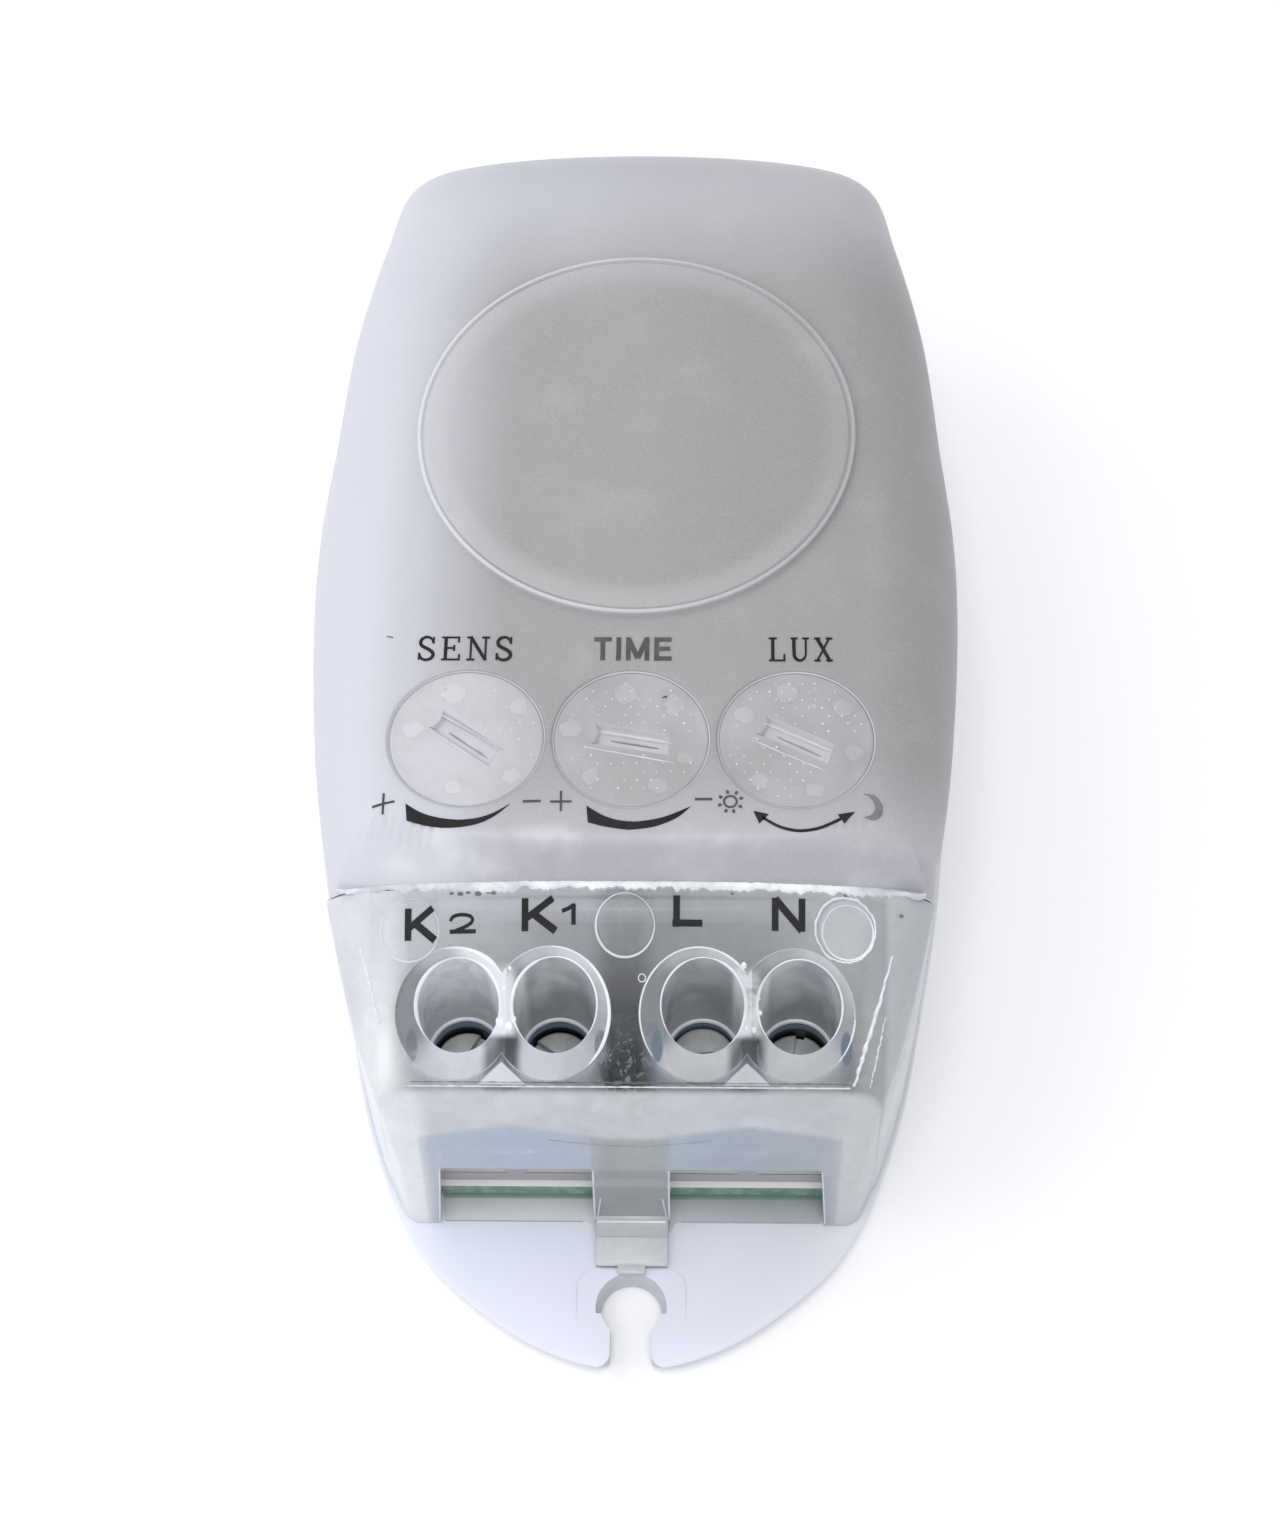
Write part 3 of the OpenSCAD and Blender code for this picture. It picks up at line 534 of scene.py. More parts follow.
def hazy(name="hazy_plastic_look"):
    """The terminal cover's skin: clear plastic with a haze that thins around the screwdriver wells and in the middle,
    with painted glints on the tubes' walls, painted shade on their lower flanks, and colour that is lighter on the left
    and darker on the right as painted light and shade.
    """
    T = Tree(name)
    vec, x, y, z = T.coords()
    fine = T.noise(vec, 900.0, 3.0)
    cloud = T.noise(vec, 130.0, 4.0, 0.6, 0.5)
    ax, mid, dx, dy, r = pole_terms(T, x, y)
    # along the slope: hazy at the seam, clear near the fold; and hazier towards both sides
    slope = T.step(y, -0.0385, -0.0255)
    left = T.math("SUBTRACT", 1.0, T.step(x, -0.0196, -0.0132))
    west = T.math("SUBTRACT", 1.0, T.step(x, -0.0160, -0.0040))
    right = T.step(x, 0.0146, 0.0200)
    nearright = T.step(x, 0.0030, 0.0150)
    centre = T.math("SUBTRACT", 1.0, T.step(T.math("ABSOLUTE", T.math("ADD", x, 0.0004)), 0.0008, 0.0030))
    haze = T.math("MULTIPLY_ADD", slope, 0.25, 0.15)
    haze = T.math("SUBTRACT", haze, T.math("MULTIPLY", centre, 0.15))
    haze = T.math("ADD", haze, T.math("MULTIPLY", west, 0.19))
    haze = T.math("ADD", haze, T.math("MULTIPLY", nearright, 0.16))
    haze = T.math("MAXIMUM", haze, T.math("MULTIPLY", left, 0.84))
    haze = T.math("MAXIMUM", haze, T.math("MULTIPLY", right, 0.64))
    # over the tubes' walls, whitened by a painted glint towards each wall's upper right, and milky over their fronts
    sx = T.math("ADD", x, T.math("MULTIPLY", T.math("SIGN", x), -0.00955))
    px = T.math("SUBTRACT", sx, T.math("MULTIPLY", T.math("SIGN", sx), 0.00375))
    so = T.math("ADD", sx, 0.00035)
    po = T.math("SUBTRACT", so, T.math("MULTIPLY", T.math("SIGN", so), 0.00375))
    dyo = T.math("ADD", dy, 0.0005)
    ro = T.math("SQRT", T.math("ADD", T.math("MULTIPLY", po, po), T.math("MULTIPLY", dyo, dyo)))
    mido = T.math("ABSOLUTE", so)
    over = T.math("SUBTRACT", 1.0, T.step(ro, 0.00455, 0.00468))
    diag = T.math("DIVIDE", T.math("MULTIPLY", T.math("ADD", px, dy), 0.7071), T.math("MAXIMUM", r, 0.0001))
    glint = T.math("MULTIPLY", T.step(diag, 0.45, 0.98), T.step(ro, 0.0034, 0.0045))
    firstk = T.math("SUBTRACT", 1.0, T.step(x, -0.0098, -0.0092))
    wallh = T.math("ADD", 0.44, T.math("MULTIPLY", glint, T.math("MULTIPLY_ADD", firstk, 0.38, 0.20)))
    backl = T.math("MULTIPLY", T.step(T.math("DIVIDE", T.math("MULTIPLY", px, -1.0), T.math("MAXIMUM", r, 0.0001)), 0.55, 0.85), 0.16)
    wallh = T.math("SUBTRACT", wallh, backl)
    wallh = T.math("ADD", wallh, T.math("MULTIPLY", T.step(T.math("DIVIDE", dy, T.math("MAXIMUM", r, 0.0001)), 0.35, 0.95), T.math("MULTIPLY", T.step(ro, 0.0036, 0.0042), 0.12)))
    haze = T.math("ADD", T.math("MULTIPLY", haze, T.math("SUBTRACT", 1.0, over)), T.math("MULTIPLY", over, wallh))
    ford = T.math("DIVIDE", T.math("MULTIPLY", dy, -1.0), T.math("MAXIMUM", r, 0.0001))
    fr_ = T.math("MULTIPLY", T.step(ford, 0.50, 0.86), T.math("SUBTRACT", 1.0, T.step(ro, 0.0044, 0.0052)))
    haze = T.math("ADD", haze, T.math("MULTIPLY", fr_, T.math("MULTIPLY_ADD", cloud, 0.26, 0.09)), clamp=True)
    # the web between two tubes: bright above, dark below, then a pale triangle
    web = T.math("SUBTRACT", 1.0, T.step(mido, 0.0006, 0.0014))
    low_ = T.math("SUBTRACT", 1.0, T.step(y, -0.0352, -0.0346))
    haze = T.math("MULTIPLY", haze, T.math("MULTIPLY_ADD", T.math("MULTIPLY", T.math("SUBTRACT", 1.0, T.step(mido, 0.0009, 0.0018)), low_), -0.85, 1.0))
    # painted shade on the tubes' lower flanks, seen through the deck
    flank_shade = T.math("MULTIPLY", T.math("SUBTRACT", 1.0, T.step(T.math("ADD", T.math("POWER", T.math("DIVIDE", T.math("SUBTRACT", mid, 0.00735), 0.00048), 2.0), T.math("POWER", T.math("DIVIDE", T.math("ADD", y, 0.0356), 0.00125), 2.0)), 0.5, 1.1)), T.step(cloud, 0.26, 0.46))
    up_ = T.math("MULTIPLY", T.step(y, -0.0352, -0.0345), T.math("SUBTRACT", 1.0, T.step(y, -0.0312, -0.0296)))
    haze = T.math("ADD", haze, T.math("MULTIPLY", T.math("MULTIPLY", web, up_), T.math("MULTIPLY", T.step(cloud, 0.38, 0.55), 0.6)), clamp=True)
    tri = T.math("MULTIPLY", T.step(T.math("SUBTRACT", T.math("MULTIPLY", T.math("SUBTRACT", -0.03665, y), 1.22), mido), -0.00012, 0.0001), T.step(y, -0.0383, -0.0381))
    # the front wall
    front = T.math("SUBTRACT", 1.0, T.step(y, -0.03875, -0.0384))
    haze = T.math("MAXIMUM", haze, T.math("MULTIPLY", T.math("MULTIPLY", tri, T.math("SUBTRACT", 1.0, front)), 0.80))
    # its clearer zone over the blocks has a scalloped top
    edge_z = T.math("SUBTRACT", 0.0176, T.math("MULTIPLY", T.math("MINIMUM", mid, 0.0080), 0.24))
    zone = T.math("SUBTRACT", 1.0, T.step(T.math("SUBTRACT", z, edge_z), -0.0005, 0.0006))
    low = T.math("SUBTRACT", 1.0, T.step(z, 0.0104, 0.0114))
    wallhaze = T.math("MULTIPLY_ADD", zone, -0.12, 0.84)
    haze = T.math("ADD", T.math("MULTIPLY", haze, T.math("SUBTRACT", 1.0, front)), T.math("MULTIPLY", wallhaze, front))
    tongue = T.math("SUBTRACT", 1.0, T.step(ax, 0.0030, 0.0033))
    haze = T.math("SUBTRACT", haze, T.math("MULTIPLY", T.math("MULTIPLY", tongue, low), 0.16))
    haze = T.math("MAXIMUM", haze, T.math("MULTIPLY", flank_shade, T.math("MULTIPLY", T.math("SUBTRACT", 1.0, front), 0.62)))
    corner = T.step(ax, 0.0156, 0.0172)
    haze = T.math("MAXIMUM", haze, T.math("MULTIPLY", T.math("MULTIPLY", corner, front), 0.86))
    side = T.step(ax, 0.0186, 0.0205)
    haze = T.math("MAXIMUM", haze, T.math("MULTIPLY", side, 0.88))
    streak = T.noise(vec, 1250.0, 5.0, 0.7, 1.2)
    mott = T.math("MULTIPLY", centre, T.math("SUBTRACT", 1.0, T.step(y, -0.0362, -0.0332)))
    mott = T.math("MULTIPLY", mott, T.math("SUBTRACT", 1.0, front))
    haze = T.math("ADD", haze, T.math("MULTIPLY", T.math("MULTIPLY", mott, T.step(streak, 0.53, 0.62)), 0.24), clamp=True)
    # the moulded ejector marks are a little milkier
    for mx, my, k in ((-0.01715, -0.02745, 0.06), (-0.00033, -0.02723, 0.09), (0.0169, -0.0273, 0.17)):
        qx, qy = T.math("SUBTRACT", x, mx), T.math("SUBTRACT", y, my)
        q = T.math("SQRT", T.math("ADD", T.math("MULTIPLY", qx, qx), T.math("MULTIPLY", qy, qy)))
        haze = T.math("ADD", haze, T.math("MULTIPLY", T.math("SUBTRACT", 1.0, T.step(q, 0.00195, 0.00225)), k), clamp=True)
    haze = T.math("MULTIPLY", haze, T.math("MULTIPLY_ADD", streak, 0.22, 0.89), clamp=True)
    haze = T.math("MULTIPLY", haze, T.math("MULTIPLY_ADD", cloud, 0.28, 0.86), clamp=True)
    edge = T.add("ShaderNodeLayerWeight")
    edge.inputs[0].default_value = 0.25
    haze = T.math("MAXIMUM", haze, T.math("MULTIPLY", T.math("POWER", edge.outputs["Facing"], 3.0), 0.85), clamp=True)
    c = T.mix(cloud, srgb(206, 209, 214), srgb(222, 225, 230))
    # painted shade: the deck darker from the middle to the right, away from the light
    c = T.mix(T.math("MULTIPLY", T.step(x, -0.006, 0.004), T.math("SUBTRACT", 1.0, front)), c, T.mix(cloud, srgb(190, 193, 196), srgb(208, 210, 214)))
    c = T.mix(front, c, T.mix(T.step(T.noise(vec, 330.0, 5.0, 0.6, 0.8), 0.25, 0.75), srgb(195, 199, 203), srgb(208, 211, 215)))
    # painted shade on the front wall, darker to the right
    c = T.mix(T.math("MULTIPLY", T.math("MULTIPLY", front, T.step(x, -0.002, 0.020)), 0.4), c, srgb(178, 181, 185))
    # painted shade of the tubes' lower flanks, in dark blue-grey
    c = T.mix(T.math("MULTIPLY", flank_shade, T.math("MULTIPLY", T.math("SUBTRACT", 1.0, front), 0.9)), c, srgb(104, 120, 142))
    # painted light: a pale, milky patch at the lower left of the deck, towards the light
    lx, ly = T.math("ADD", x, 0.0192), T.math("ADD", y, 0.0362)
    lowleft = T.math("SUBTRACT", 1.0, T.step(T.math("SQRT", T.math("ADD", T.math("MULTIPLY", lx, lx), T.math("MULTIPLY", T.math("MULTIPLY", ly, ly), 0.10))), 0.0000, 0.0034))
    lowleft = T.math("MULTIPLY", lowleft, T.step(ro, 0.00445, 0.00520))
    c = T.mix(T.math("MULTIPLY", lowleft, 0.72), c, srgb(240, 244, 247))
    haze = T.math("MAXIMUM", haze, T.math("MULTIPLY", T.math("MULTIPLY", lowleft, T.math("SUBTRACT", 1.0, front)), 0.92))
    # the front wall's corners: lighter on the left as painted light, darker on the right as painted shade
    c = T.mix(T.math("MULTIPLY", corner, front), c, T.mix(T.step(x, -0.004, 0.008), srgb(229, 232, 237), srgb(198, 201, 205)))
    # the blocks' blue-grey seen through the clearer zone, darker on the right as painted shade
    zc = T.mix(T.step(x, -0.004, 0.012), srgb(184, 195, 214), srgb(168, 178, 192))
    zc = T.mix(tongue, zc, srgb(172, 178, 181))
    c = T.mix(T.math("MULTIPLY", T.math("MULTIPLY", T.math("MULTIPLY", zone, front), T.math("SUBTRACT", 1.0, corner)), 0.85), c, zc)
    # painted shade on the right side wall, from mid-height up
    c = T.mix(T.math("MULTIPLY", T.math("MULTIPLY", T.step(x, 0.0178, 0.0205), T.step(z, 0.0130, 0.0200)), T.math("SUBTRACT", 1.0, front)), c, srgb(181, 184, 188))
    nor = T.bump(T.math("ADD", T.math("MULTIPLY", fine, 0.3), cloud), 0.15, 0.00008)
    clear_mix(T, haze, c, T.math("MULTIPLY_ADD", fine, 0.12, 0.16), nor)
    return T.mat


def inner_clear():
    T = Tree("clear_inside_look")
    vec, x, y, z = T.coords()
    cloud = T.noise(vec, 160.0, 3.0)
    front = T.math("SUBTRACT", 1.0, T.step(y, -0.0382, -0.0376))
    h = T.math("MULTIPLY", T.math("MULTIPLY_ADD", front, 0.05, 0.03), cloud)
    clear_mix(T, h, T.mix(cloud, srgb(200, 204, 208), srgb(220, 223, 228)), 0.2, gloss=0.3)
    return T.mat


def tube_side():
    """Outside of the screwdriver tubes: milky and near white in front as painted light, dark where the curve turns away
    as painted shade, clear behind.
    """
    T = Tree("tube_side_look")
    vec, x, y, z = T.coords()
    cloud = T.noise(vec, 170.0, 3.0, 0.5, 0.4)
    ax, mid, dx, dy, r = pole_terms(T, x, y)
    f = T.math("DIVIDE", T.math("MULTIPLY", dy, -1.0), T.math("MAXIMUM", r, 0.0001))
    front = T.step(f, 0.45, 0.80)
    flank = T.math("MULTIPLY", T.step(f, -0.35, 0.10), T.math("SUBTRACT", 1.0, T.step(f, 0.50, 0.72)))
    haze = T.math("MAXIMUM", T.math("MULTIPLY", front, 0.78), T.math("MULTIPLY", flank, 0.72))
    haze = T.math("MAXIMUM", haze, 0.12)
    haze = T.math("MULTIPLY", haze, T.math("MULTIPLY_ADD", cloud, 0.3, 0.85), clamp=True)
    # near-white fronts: painted light; darker to the right and on the flanks: painted shade
    c = T.mix(cloud, srgb(232, 236, 242), srgb(246, 248, 252))
    c = T.mix(T.math("MULTIPLY", T.step(x, -0.004, 0.016), 0.45), c, srgb(208, 212, 220))
    c = T.mix(flank, c, T.mix(T.step(cloud, 0.3, 0.7), srgb(116, 130, 148), srgb(160, 170, 184)))
    clear_mix(T, haze, c, 0.15, gloss=0.8)
    return T.mat


def bore():
    """Inside of the wells: grey, with soft reflections, a bright strip of painted light on the side next to the
    neighbour, lighter in the first well as painted light, darker in the third as painted shade, and lighter towards the
    bottom.
    """
    T = Tree("well_wall_look")
    vec, x, y, z = T.coords()
    cloud = T.noise(vec, 240.0, 3.0, 0.5, 0.3)
    ax, mid, dx, dy, r = pole_terms(T, x, y)
    strip = T.math("SUBTRACT", 1.0, T.step(mid, 0.0011, 0.0017))
    kleft = T.math("SUBTRACT", 1.0, T.step(x, -0.0102, -0.0094))
    c = T.mix(T.step(cloud, 0.35, 0.68), srgb(176, 182, 187), srgb(214, 217, 220))
    # painted light in the first well, painted shade in the third, and a strip of painted light on the side next to the
    # neighbour
    c = T.mix(T.math("MULTIPLY", kleft, 0.8), c, T.mix(T.step(T.noise(vec, 520.0, 4.0, 0.6, 0.4), 0.36, 0.60), srgb(222, 226, 231), srgb(247, 249, 252)))
    c = T.mix(T.math("MULTIPLY", T.step(x, 0.002, 0.004), T.math("SUBTRACT", 1.0, T.step(x, 0.0092, 0.0100))), c, T.mix(T.step(cloud, 0.35, 0.68), srgb(160, 166, 171), srgb(192, 196, 199)))
    c = T.mix(T.math("MULTIPLY", strip, 0.8), c, srgb(248, 249, 250))
    low = T.math("SUBTRACT", 1.0, T.step(z, 0.0172, 0.0205))
    c = T.mix(T.math("MULTIPLY", low, 0.35), c, srgb(226, 230, 234))
    haze = T.math("MULTIPLY_ADD", strip, 0.10, 0.86)
    clear_mix(T, haze, c, 0.2, gloss=0.8)
    return T.mat


M = {}
M["frosted"] = frosted()
M["hazy"] = hazy()
M["inner"] = inner_clear()
M["tube_side"] = tube_side()
M["bore"] = bore()
M["base"] = base_look()
M["knob"] = None
# painted highlights: bright beads on rims and edges; the same material makes the white spots in the webs between the
# tubes
M["rim"] = plain("painted_highlight_and_spot_look", srgb(238, 240, 244), srgb(202, 206, 212), 330, 0.20, 0.2, spec=0.6, detail=4)
# softer painted highlights on edges and on the ejector marks' rims
M["soft_rim"] = plain("soft_edge_look", srgb(214, 216, 222), srgb(196, 198, 205), 700, 0.25, 0.2, spec=0.5)
M["ink"] = plain("print_ink_look", srgb(12, 12, 14), srgb(34, 34, 37), 1500, 0.62, 0.3, spec=0.3)
M["ink_pale"] = plain("print_ink_pale_look", srgb(104, 104, 106), srgb(128, 128, 130), 1500, 0.6, 0.3)
M["ink_soft"] = plain("print_ink_soft_look", srgb(52, 52, 54), srgb(84, 84, 86), 1500, 0.6, 0.3)
# dark grey of the dividing wall: painted shade of the inside
M["dark"] = plain("painted_shade_inside_look", srgb(52, 57, 58), srgb(104, 110, 110), 420, 0.5, 0.6, dist=0.0002, detail=5)
M["trimmer"] = plain("trimmer_look", srgb(70, 92, 140), srgb(58, 80, 128), 500, 0.45, 0.2)
# pale beads of painted highlight along edges and slot rims, also the edge of a small bubble
M["pale_edge"] = plain("pale_edge_look", srgb(214, 214, 218), srgb(196, 196, 200), 700, 0.3, 0.2, spec=0.5)
M["dot"] = plain("knob_dot_look", srgb(220, 220, 223), srgb(206, 206, 209), 500, 0.36, 0.2)
M["ledge"] = plain("hole_ledge_look", srgb(190, 190, 194), srgb(174, 174, 178), 500, 0.4, 0.2)
# light slot sides as painted light, paler still on the left knob
M["slot"] = plain("slot_side_look", srgb(194, 194, 198), srgb(182, 182, 186), 500, 0.35, 0.2)
M["slot_l"] = plain("slot_side_pale_look", srgb(202, 202, 208), srgb(192, 192, 198), 500, 0.35, 0.2)
# darker floor line of the knobs' slots as painted shade; the same grey draws the ridge across the front wall
M["slot_line"] = plain("slot_floor_look", srgb(138, 138, 140), srgb(158, 158, 160), 500, 0.5, 0.2)
M["fold_dark"] = plain("fold_shadow_look", srgb(70, 76, 78), srgb(110, 116, 118), 900, 0.4, 0.3)
M["foot"] = plain("milky_foot_look", srgb(198, 199, 203), srgb(182, 184, 187), 500, 0.3, 0.25)
# painted highlight along the seam where the covers meet
M["seam"] = plain("painted_seam_highlight_look", srgb(236, 238, 241), srgb(178, 182, 187), 620, 0.4, 0.6, dist=0.00012, detail=5)
# painted highlight at the lower ends of the tubes
M["bright"] = plain("bright_edge_look", srgb(252, 252, 253), srgb(244, 246, 248), 700, 0.2, 0.2)
# grey of the tongue's ramp: painted shade
M["ramp"] = plain("tongue_ramp_look", srgb(176, 179, 182), srgb(162, 166, 169), 500, 0.3, 0.25)
M["pad"] = pad_look()
# grey of the keyhole's walls and chamfer: painted shade
M["key_wall"] = plain("keyhole_wall_look", srgb(192, 195, 202), srgb(180, 183, 189), 500, 0.4, 0.25)
# darker line along the pads' front edge: painted shade
M["pad_line"] = plain("pad_edge_look", srgb(150, 153, 158), srgb(170, 173, 178), 500, 0.4, 0.2)
# grey lines along the tubes' lower outline: painted shade
M["front_line"] = plain("tube_front_line_look", srgb(140, 146, 153), srgb(166, 171, 177), 500, 0.4, 0.2)
M["window_edge"] = plain("window_edge_look", srgb(206, 210, 214), srgb(190, 194, 198), 700, 0.3, 0.2)
M["white_part"] = plain("white_part_look", srgb(232, 232, 224), srgb(214, 214, 206), 500, 0.45, 0.2)
M["steel"] = plain("zinc_look", srgb(200, 200, 199), srgb(166, 168, 167), 900, 0.34, 0.35, metal=0.15)
M["tin"] = plain("tin_look", srgb(200, 202, 204), srgb(176, 178, 180), 500, 0.35, 0.3, metal=1.0)
M["plated"] = plain("plated_look", srgb(232, 229, 226), srgb(198, 194, 190), 420, 0.4, 0.4, metal=0.2, detail=5)
M["black"] = plain("black_part_look", srgb(34, 34, 37), srgb(48, 48, 51), 900, 0.5, 0.3)
M["resin"] = plain("resin_look", srgb(206, 140, 86), srgb(190, 122, 70), 500, 0.2, 0.1, coat=0.4)
M["relay"] = plain("relay_look", srgb(42, 78, 152), srgb(36, 68, 136), 500, 0.4, 0.2)
M["film"] = plain("film_look", srgb(206, 176, 70), srgb(192, 160, 58), 300, 0.3, 0.2)
M["sleeve"] = plain("sleeve_look", srgb(34, 37, 54), srgb(28, 31, 46), 600, 0.3, 0.2)
M["varistor"] = plain("varistor_look", srgb(60, 104, 190), srgb(52, 92, 172), 500, 0.35, 0.3)
M["fuse"] = plain("fuse_look", srgb(96, 146, 110), srgb(82, 130, 98), 500, 0.4, 0.3)


def board_look():
    """Green solder mask on top and below, the resin's edge, a white band of print at the wire end, and fine tracks;
    dark and mottled under the blocks as painted shade.
    """
    T = Tree("board_look")
    vec, x, y, z = T.coords()
    g = T.add("ShaderNodeNewGeometry")
    sn = T.add("ShaderNodeSeparateXYZ")
    T.link(g.outputs["Normal"], sn.inputs[0])
    flat = T.step(T.math("ABSOLUTE", sn.outputs[2]), 0.6, 0.9)
    br = T.add("ShaderNodeTexBrick")
    br.inputs["Scale"].default_value = 260.0
    br.inputs["Mortar Size"].default_value = 0.045
    T.link(vec, br.inputs["Vector"])
    n = T.noise(vec, 900.0, 4.0)
    n2 = T.noise(vec, 260.0, 3.0)
    green = T.mix(br.outputs["Fac"], srgb(92, 120, 104), srgb(112, 140, 122))
    edge = T.mix(T.step(n, 0.35, 0.7), srgb(90, 120, 104), srgb(128, 154, 140))
    # painted shade: the top dark and mottled under the blocks
    mott = T.mix(T.step(T.noise(vec, 520.0, 5.0, 0.65, 0.6), 0.36, 0.66), srgb(44, 50, 49), srgb(128, 134, 131))
    green = T.mix(T.step(y, -0.0375, -0.0355), green, mott)
    c = T.mix(flat, edge, green)
    white = T.math("MULTIPLY", flat, T.math("SUBTRACT", 1.0, T.step(y, -0.03910, -0.03900)))
    c = T.mix(T.math("MULTIPLY", n2, 0.25), c, srgb(100, 118, 112))
    c = T.mix(white, c, srgb(253, 253, 252))
    p = T.shader(Base_Color=c, Roughness=T.math("MULTIPLY_ADD", n, 0.2, 0.3), Specular_IOR_Level=0.5)
    T.link(T.bump(n, 0.3, 0.00005), p.inputs["Normal"])
    T.link(p.outputs[0], T.out.inputs[0])
    return T.mat


def block_look():
    """Blue-grey terminal block, with painted shade down in its screw wells and on its lower part, and painted light on
    the floor of its wire entries.
    """
    T = Tree("block_look")
    vec, x, y, z = T.coords()
    n = T.noise(vec, 700.0, 3.0)
    n2 = T.noise(vec, 110.0, 3.0)
    d = T.math("SUBTRACT", T.math("ABSOLUTE", T.math("SUBTRACT", T.math("ABSOLUTE", x), 0.00955)), 0.00375)
    e = T.math("ADD", y, 0.0328)
    r = T.math("SQRT", T.math("ADD", T.math("MULTIPLY", d, d), T.math("MULTIPLY", e, e)))
    # painted shade down in the screw wells
    deep = T.math("MULTIPLY", T.math("SUBTRACT", 1.0, T.step(r, 0.00278, 0.00292)), T.math("SUBTRACT", 1.0, T.step(z, 0.0163, 0.0164)))
    c = T.mix(n2, srgb(160, 170, 188), srgb(176, 185, 200))
    ledge = T.step(z, 0.01555, 0.01585)
    c = T.mix(deep, c, T.mix(ledge, srgb(24, 27, 30), srgb(132, 148, 170)))
    # painted shade on the block's lower part
    foot = T.math("SUBTRACT", 1.0, T.step(z, 0.0072, 0.0080))
    c = T.mix(T.math("MULTIPLY", foot, T.math("MULTIPLY_ADD", T.noise(vec, 1200.0, 3.0), 0.5, 0.5)), c, srgb(152, 148, 146))
    # painted light on the floor of the wire entries
    entry = T.math("MULTIPLY", T.step(y, -0.03916, -0.03908), T.math("SUBTRACT", 1.0, T.step(z, 0.0071, 0.0074)))
    c = T.mix(entry, c, srgb(240, 237, 234))
    p = T.shader(Base_Color=c, Roughness=T.math("MULTIPLY_ADD", n, 0.16, 0.38), Specular_IOR_Level=0.4)
    T.link(T.bump(n, 0.2, 0.00004), p.inputs["Normal"])
    T.link(p.outputs[0], T.out.inputs[0])
    return T.mat


def knob_look(name="knob_look", lift=0, sss=0.2):
    """Pale satin knob: faint round marks and tiny bright dots on its face, darker on the right and lighter on the left
    as painted shade and light.
    """
    T = Tree(name)
    vec, x, y, z = T.coords()
    fine = T.noise(vec, 1300.0, 3.0)
    cloud = T.noise(vec, 150.0, 3.0)
    v = T.add("ShaderNodeTexVoronoi", feature="F1")
    v.inputs["Scale"].default_value = 620.0
    v.inputs["Randomness"].default_value = 0.35
    T.link(vec, v.inputs["Vector"])
    dots = T.math("SUBTRACT", 1.0, T.step(v.outputs["Distance"], 0.06, 0.14))
    c = T.mix(T.step(cloud, 0.3, 0.7), srgb(159 + lift, 159 + lift, 160 + lift), srgb(175 + lift, 175 + lift, 177 + lift))
    # painted shade on the right, painted light on the left
    c = T.mix(T.math("MULTIPLY", T.step(x, 0.004, 0.016), 0.35), c, srgb(154 + lift, 154 + lift, 156 + lift))
    left = T.math("SUBTRACT", 1.0, T.step(x, -0.016, -0.002))
    c = T.mix(T.math("MULTIPLY", left, 0.85), c, srgb(203 + 0.5*lift, 203 + 0.5*lift, 209 + 0.5*lift))
    c = T.mix(T.math("MULTIPLY", T.step(T.noise(vec, 320.0, 4.0, 0.6, 0.6), 0.40, 0.72), 0.34), c, srgb(176 + lift, 176 + lift, 181 + lift))
    c = T.mix(T.math("MULTIPLY", dots, T.math("MULTIPLY", T.step(cloud, 0.48, 0.62), 0.35)), c, srgb(226, 226, 230))
    p = T.shader(Base_Color=c, Roughness=T.math("MULTIPLY_ADD", fine, 0.14, 0.34), Specular_IOR_Level=0.45, Subsurface_Weight=sss)
    p.inputs["Subsurface Radius"].default_value = (0.003, 0.003, 0.0033)
    p.inputs["Subsurface Scale"].default_value = 1.0
    T.link(T.bump(T.math("ADD", fine, T.math("MULTIPLY", dots, 0.6)), 0.12, 0.00004), p.inputs["Normal"])
    T.link(p.outputs[0], T.out.inputs[0])
    return T.mat


M["board"] = board_look()
M["block"] = block_look()
M["knob"] = knob_look()
M["knob_mark"] = knob_look("knob_mark_look", 6, 0.0)

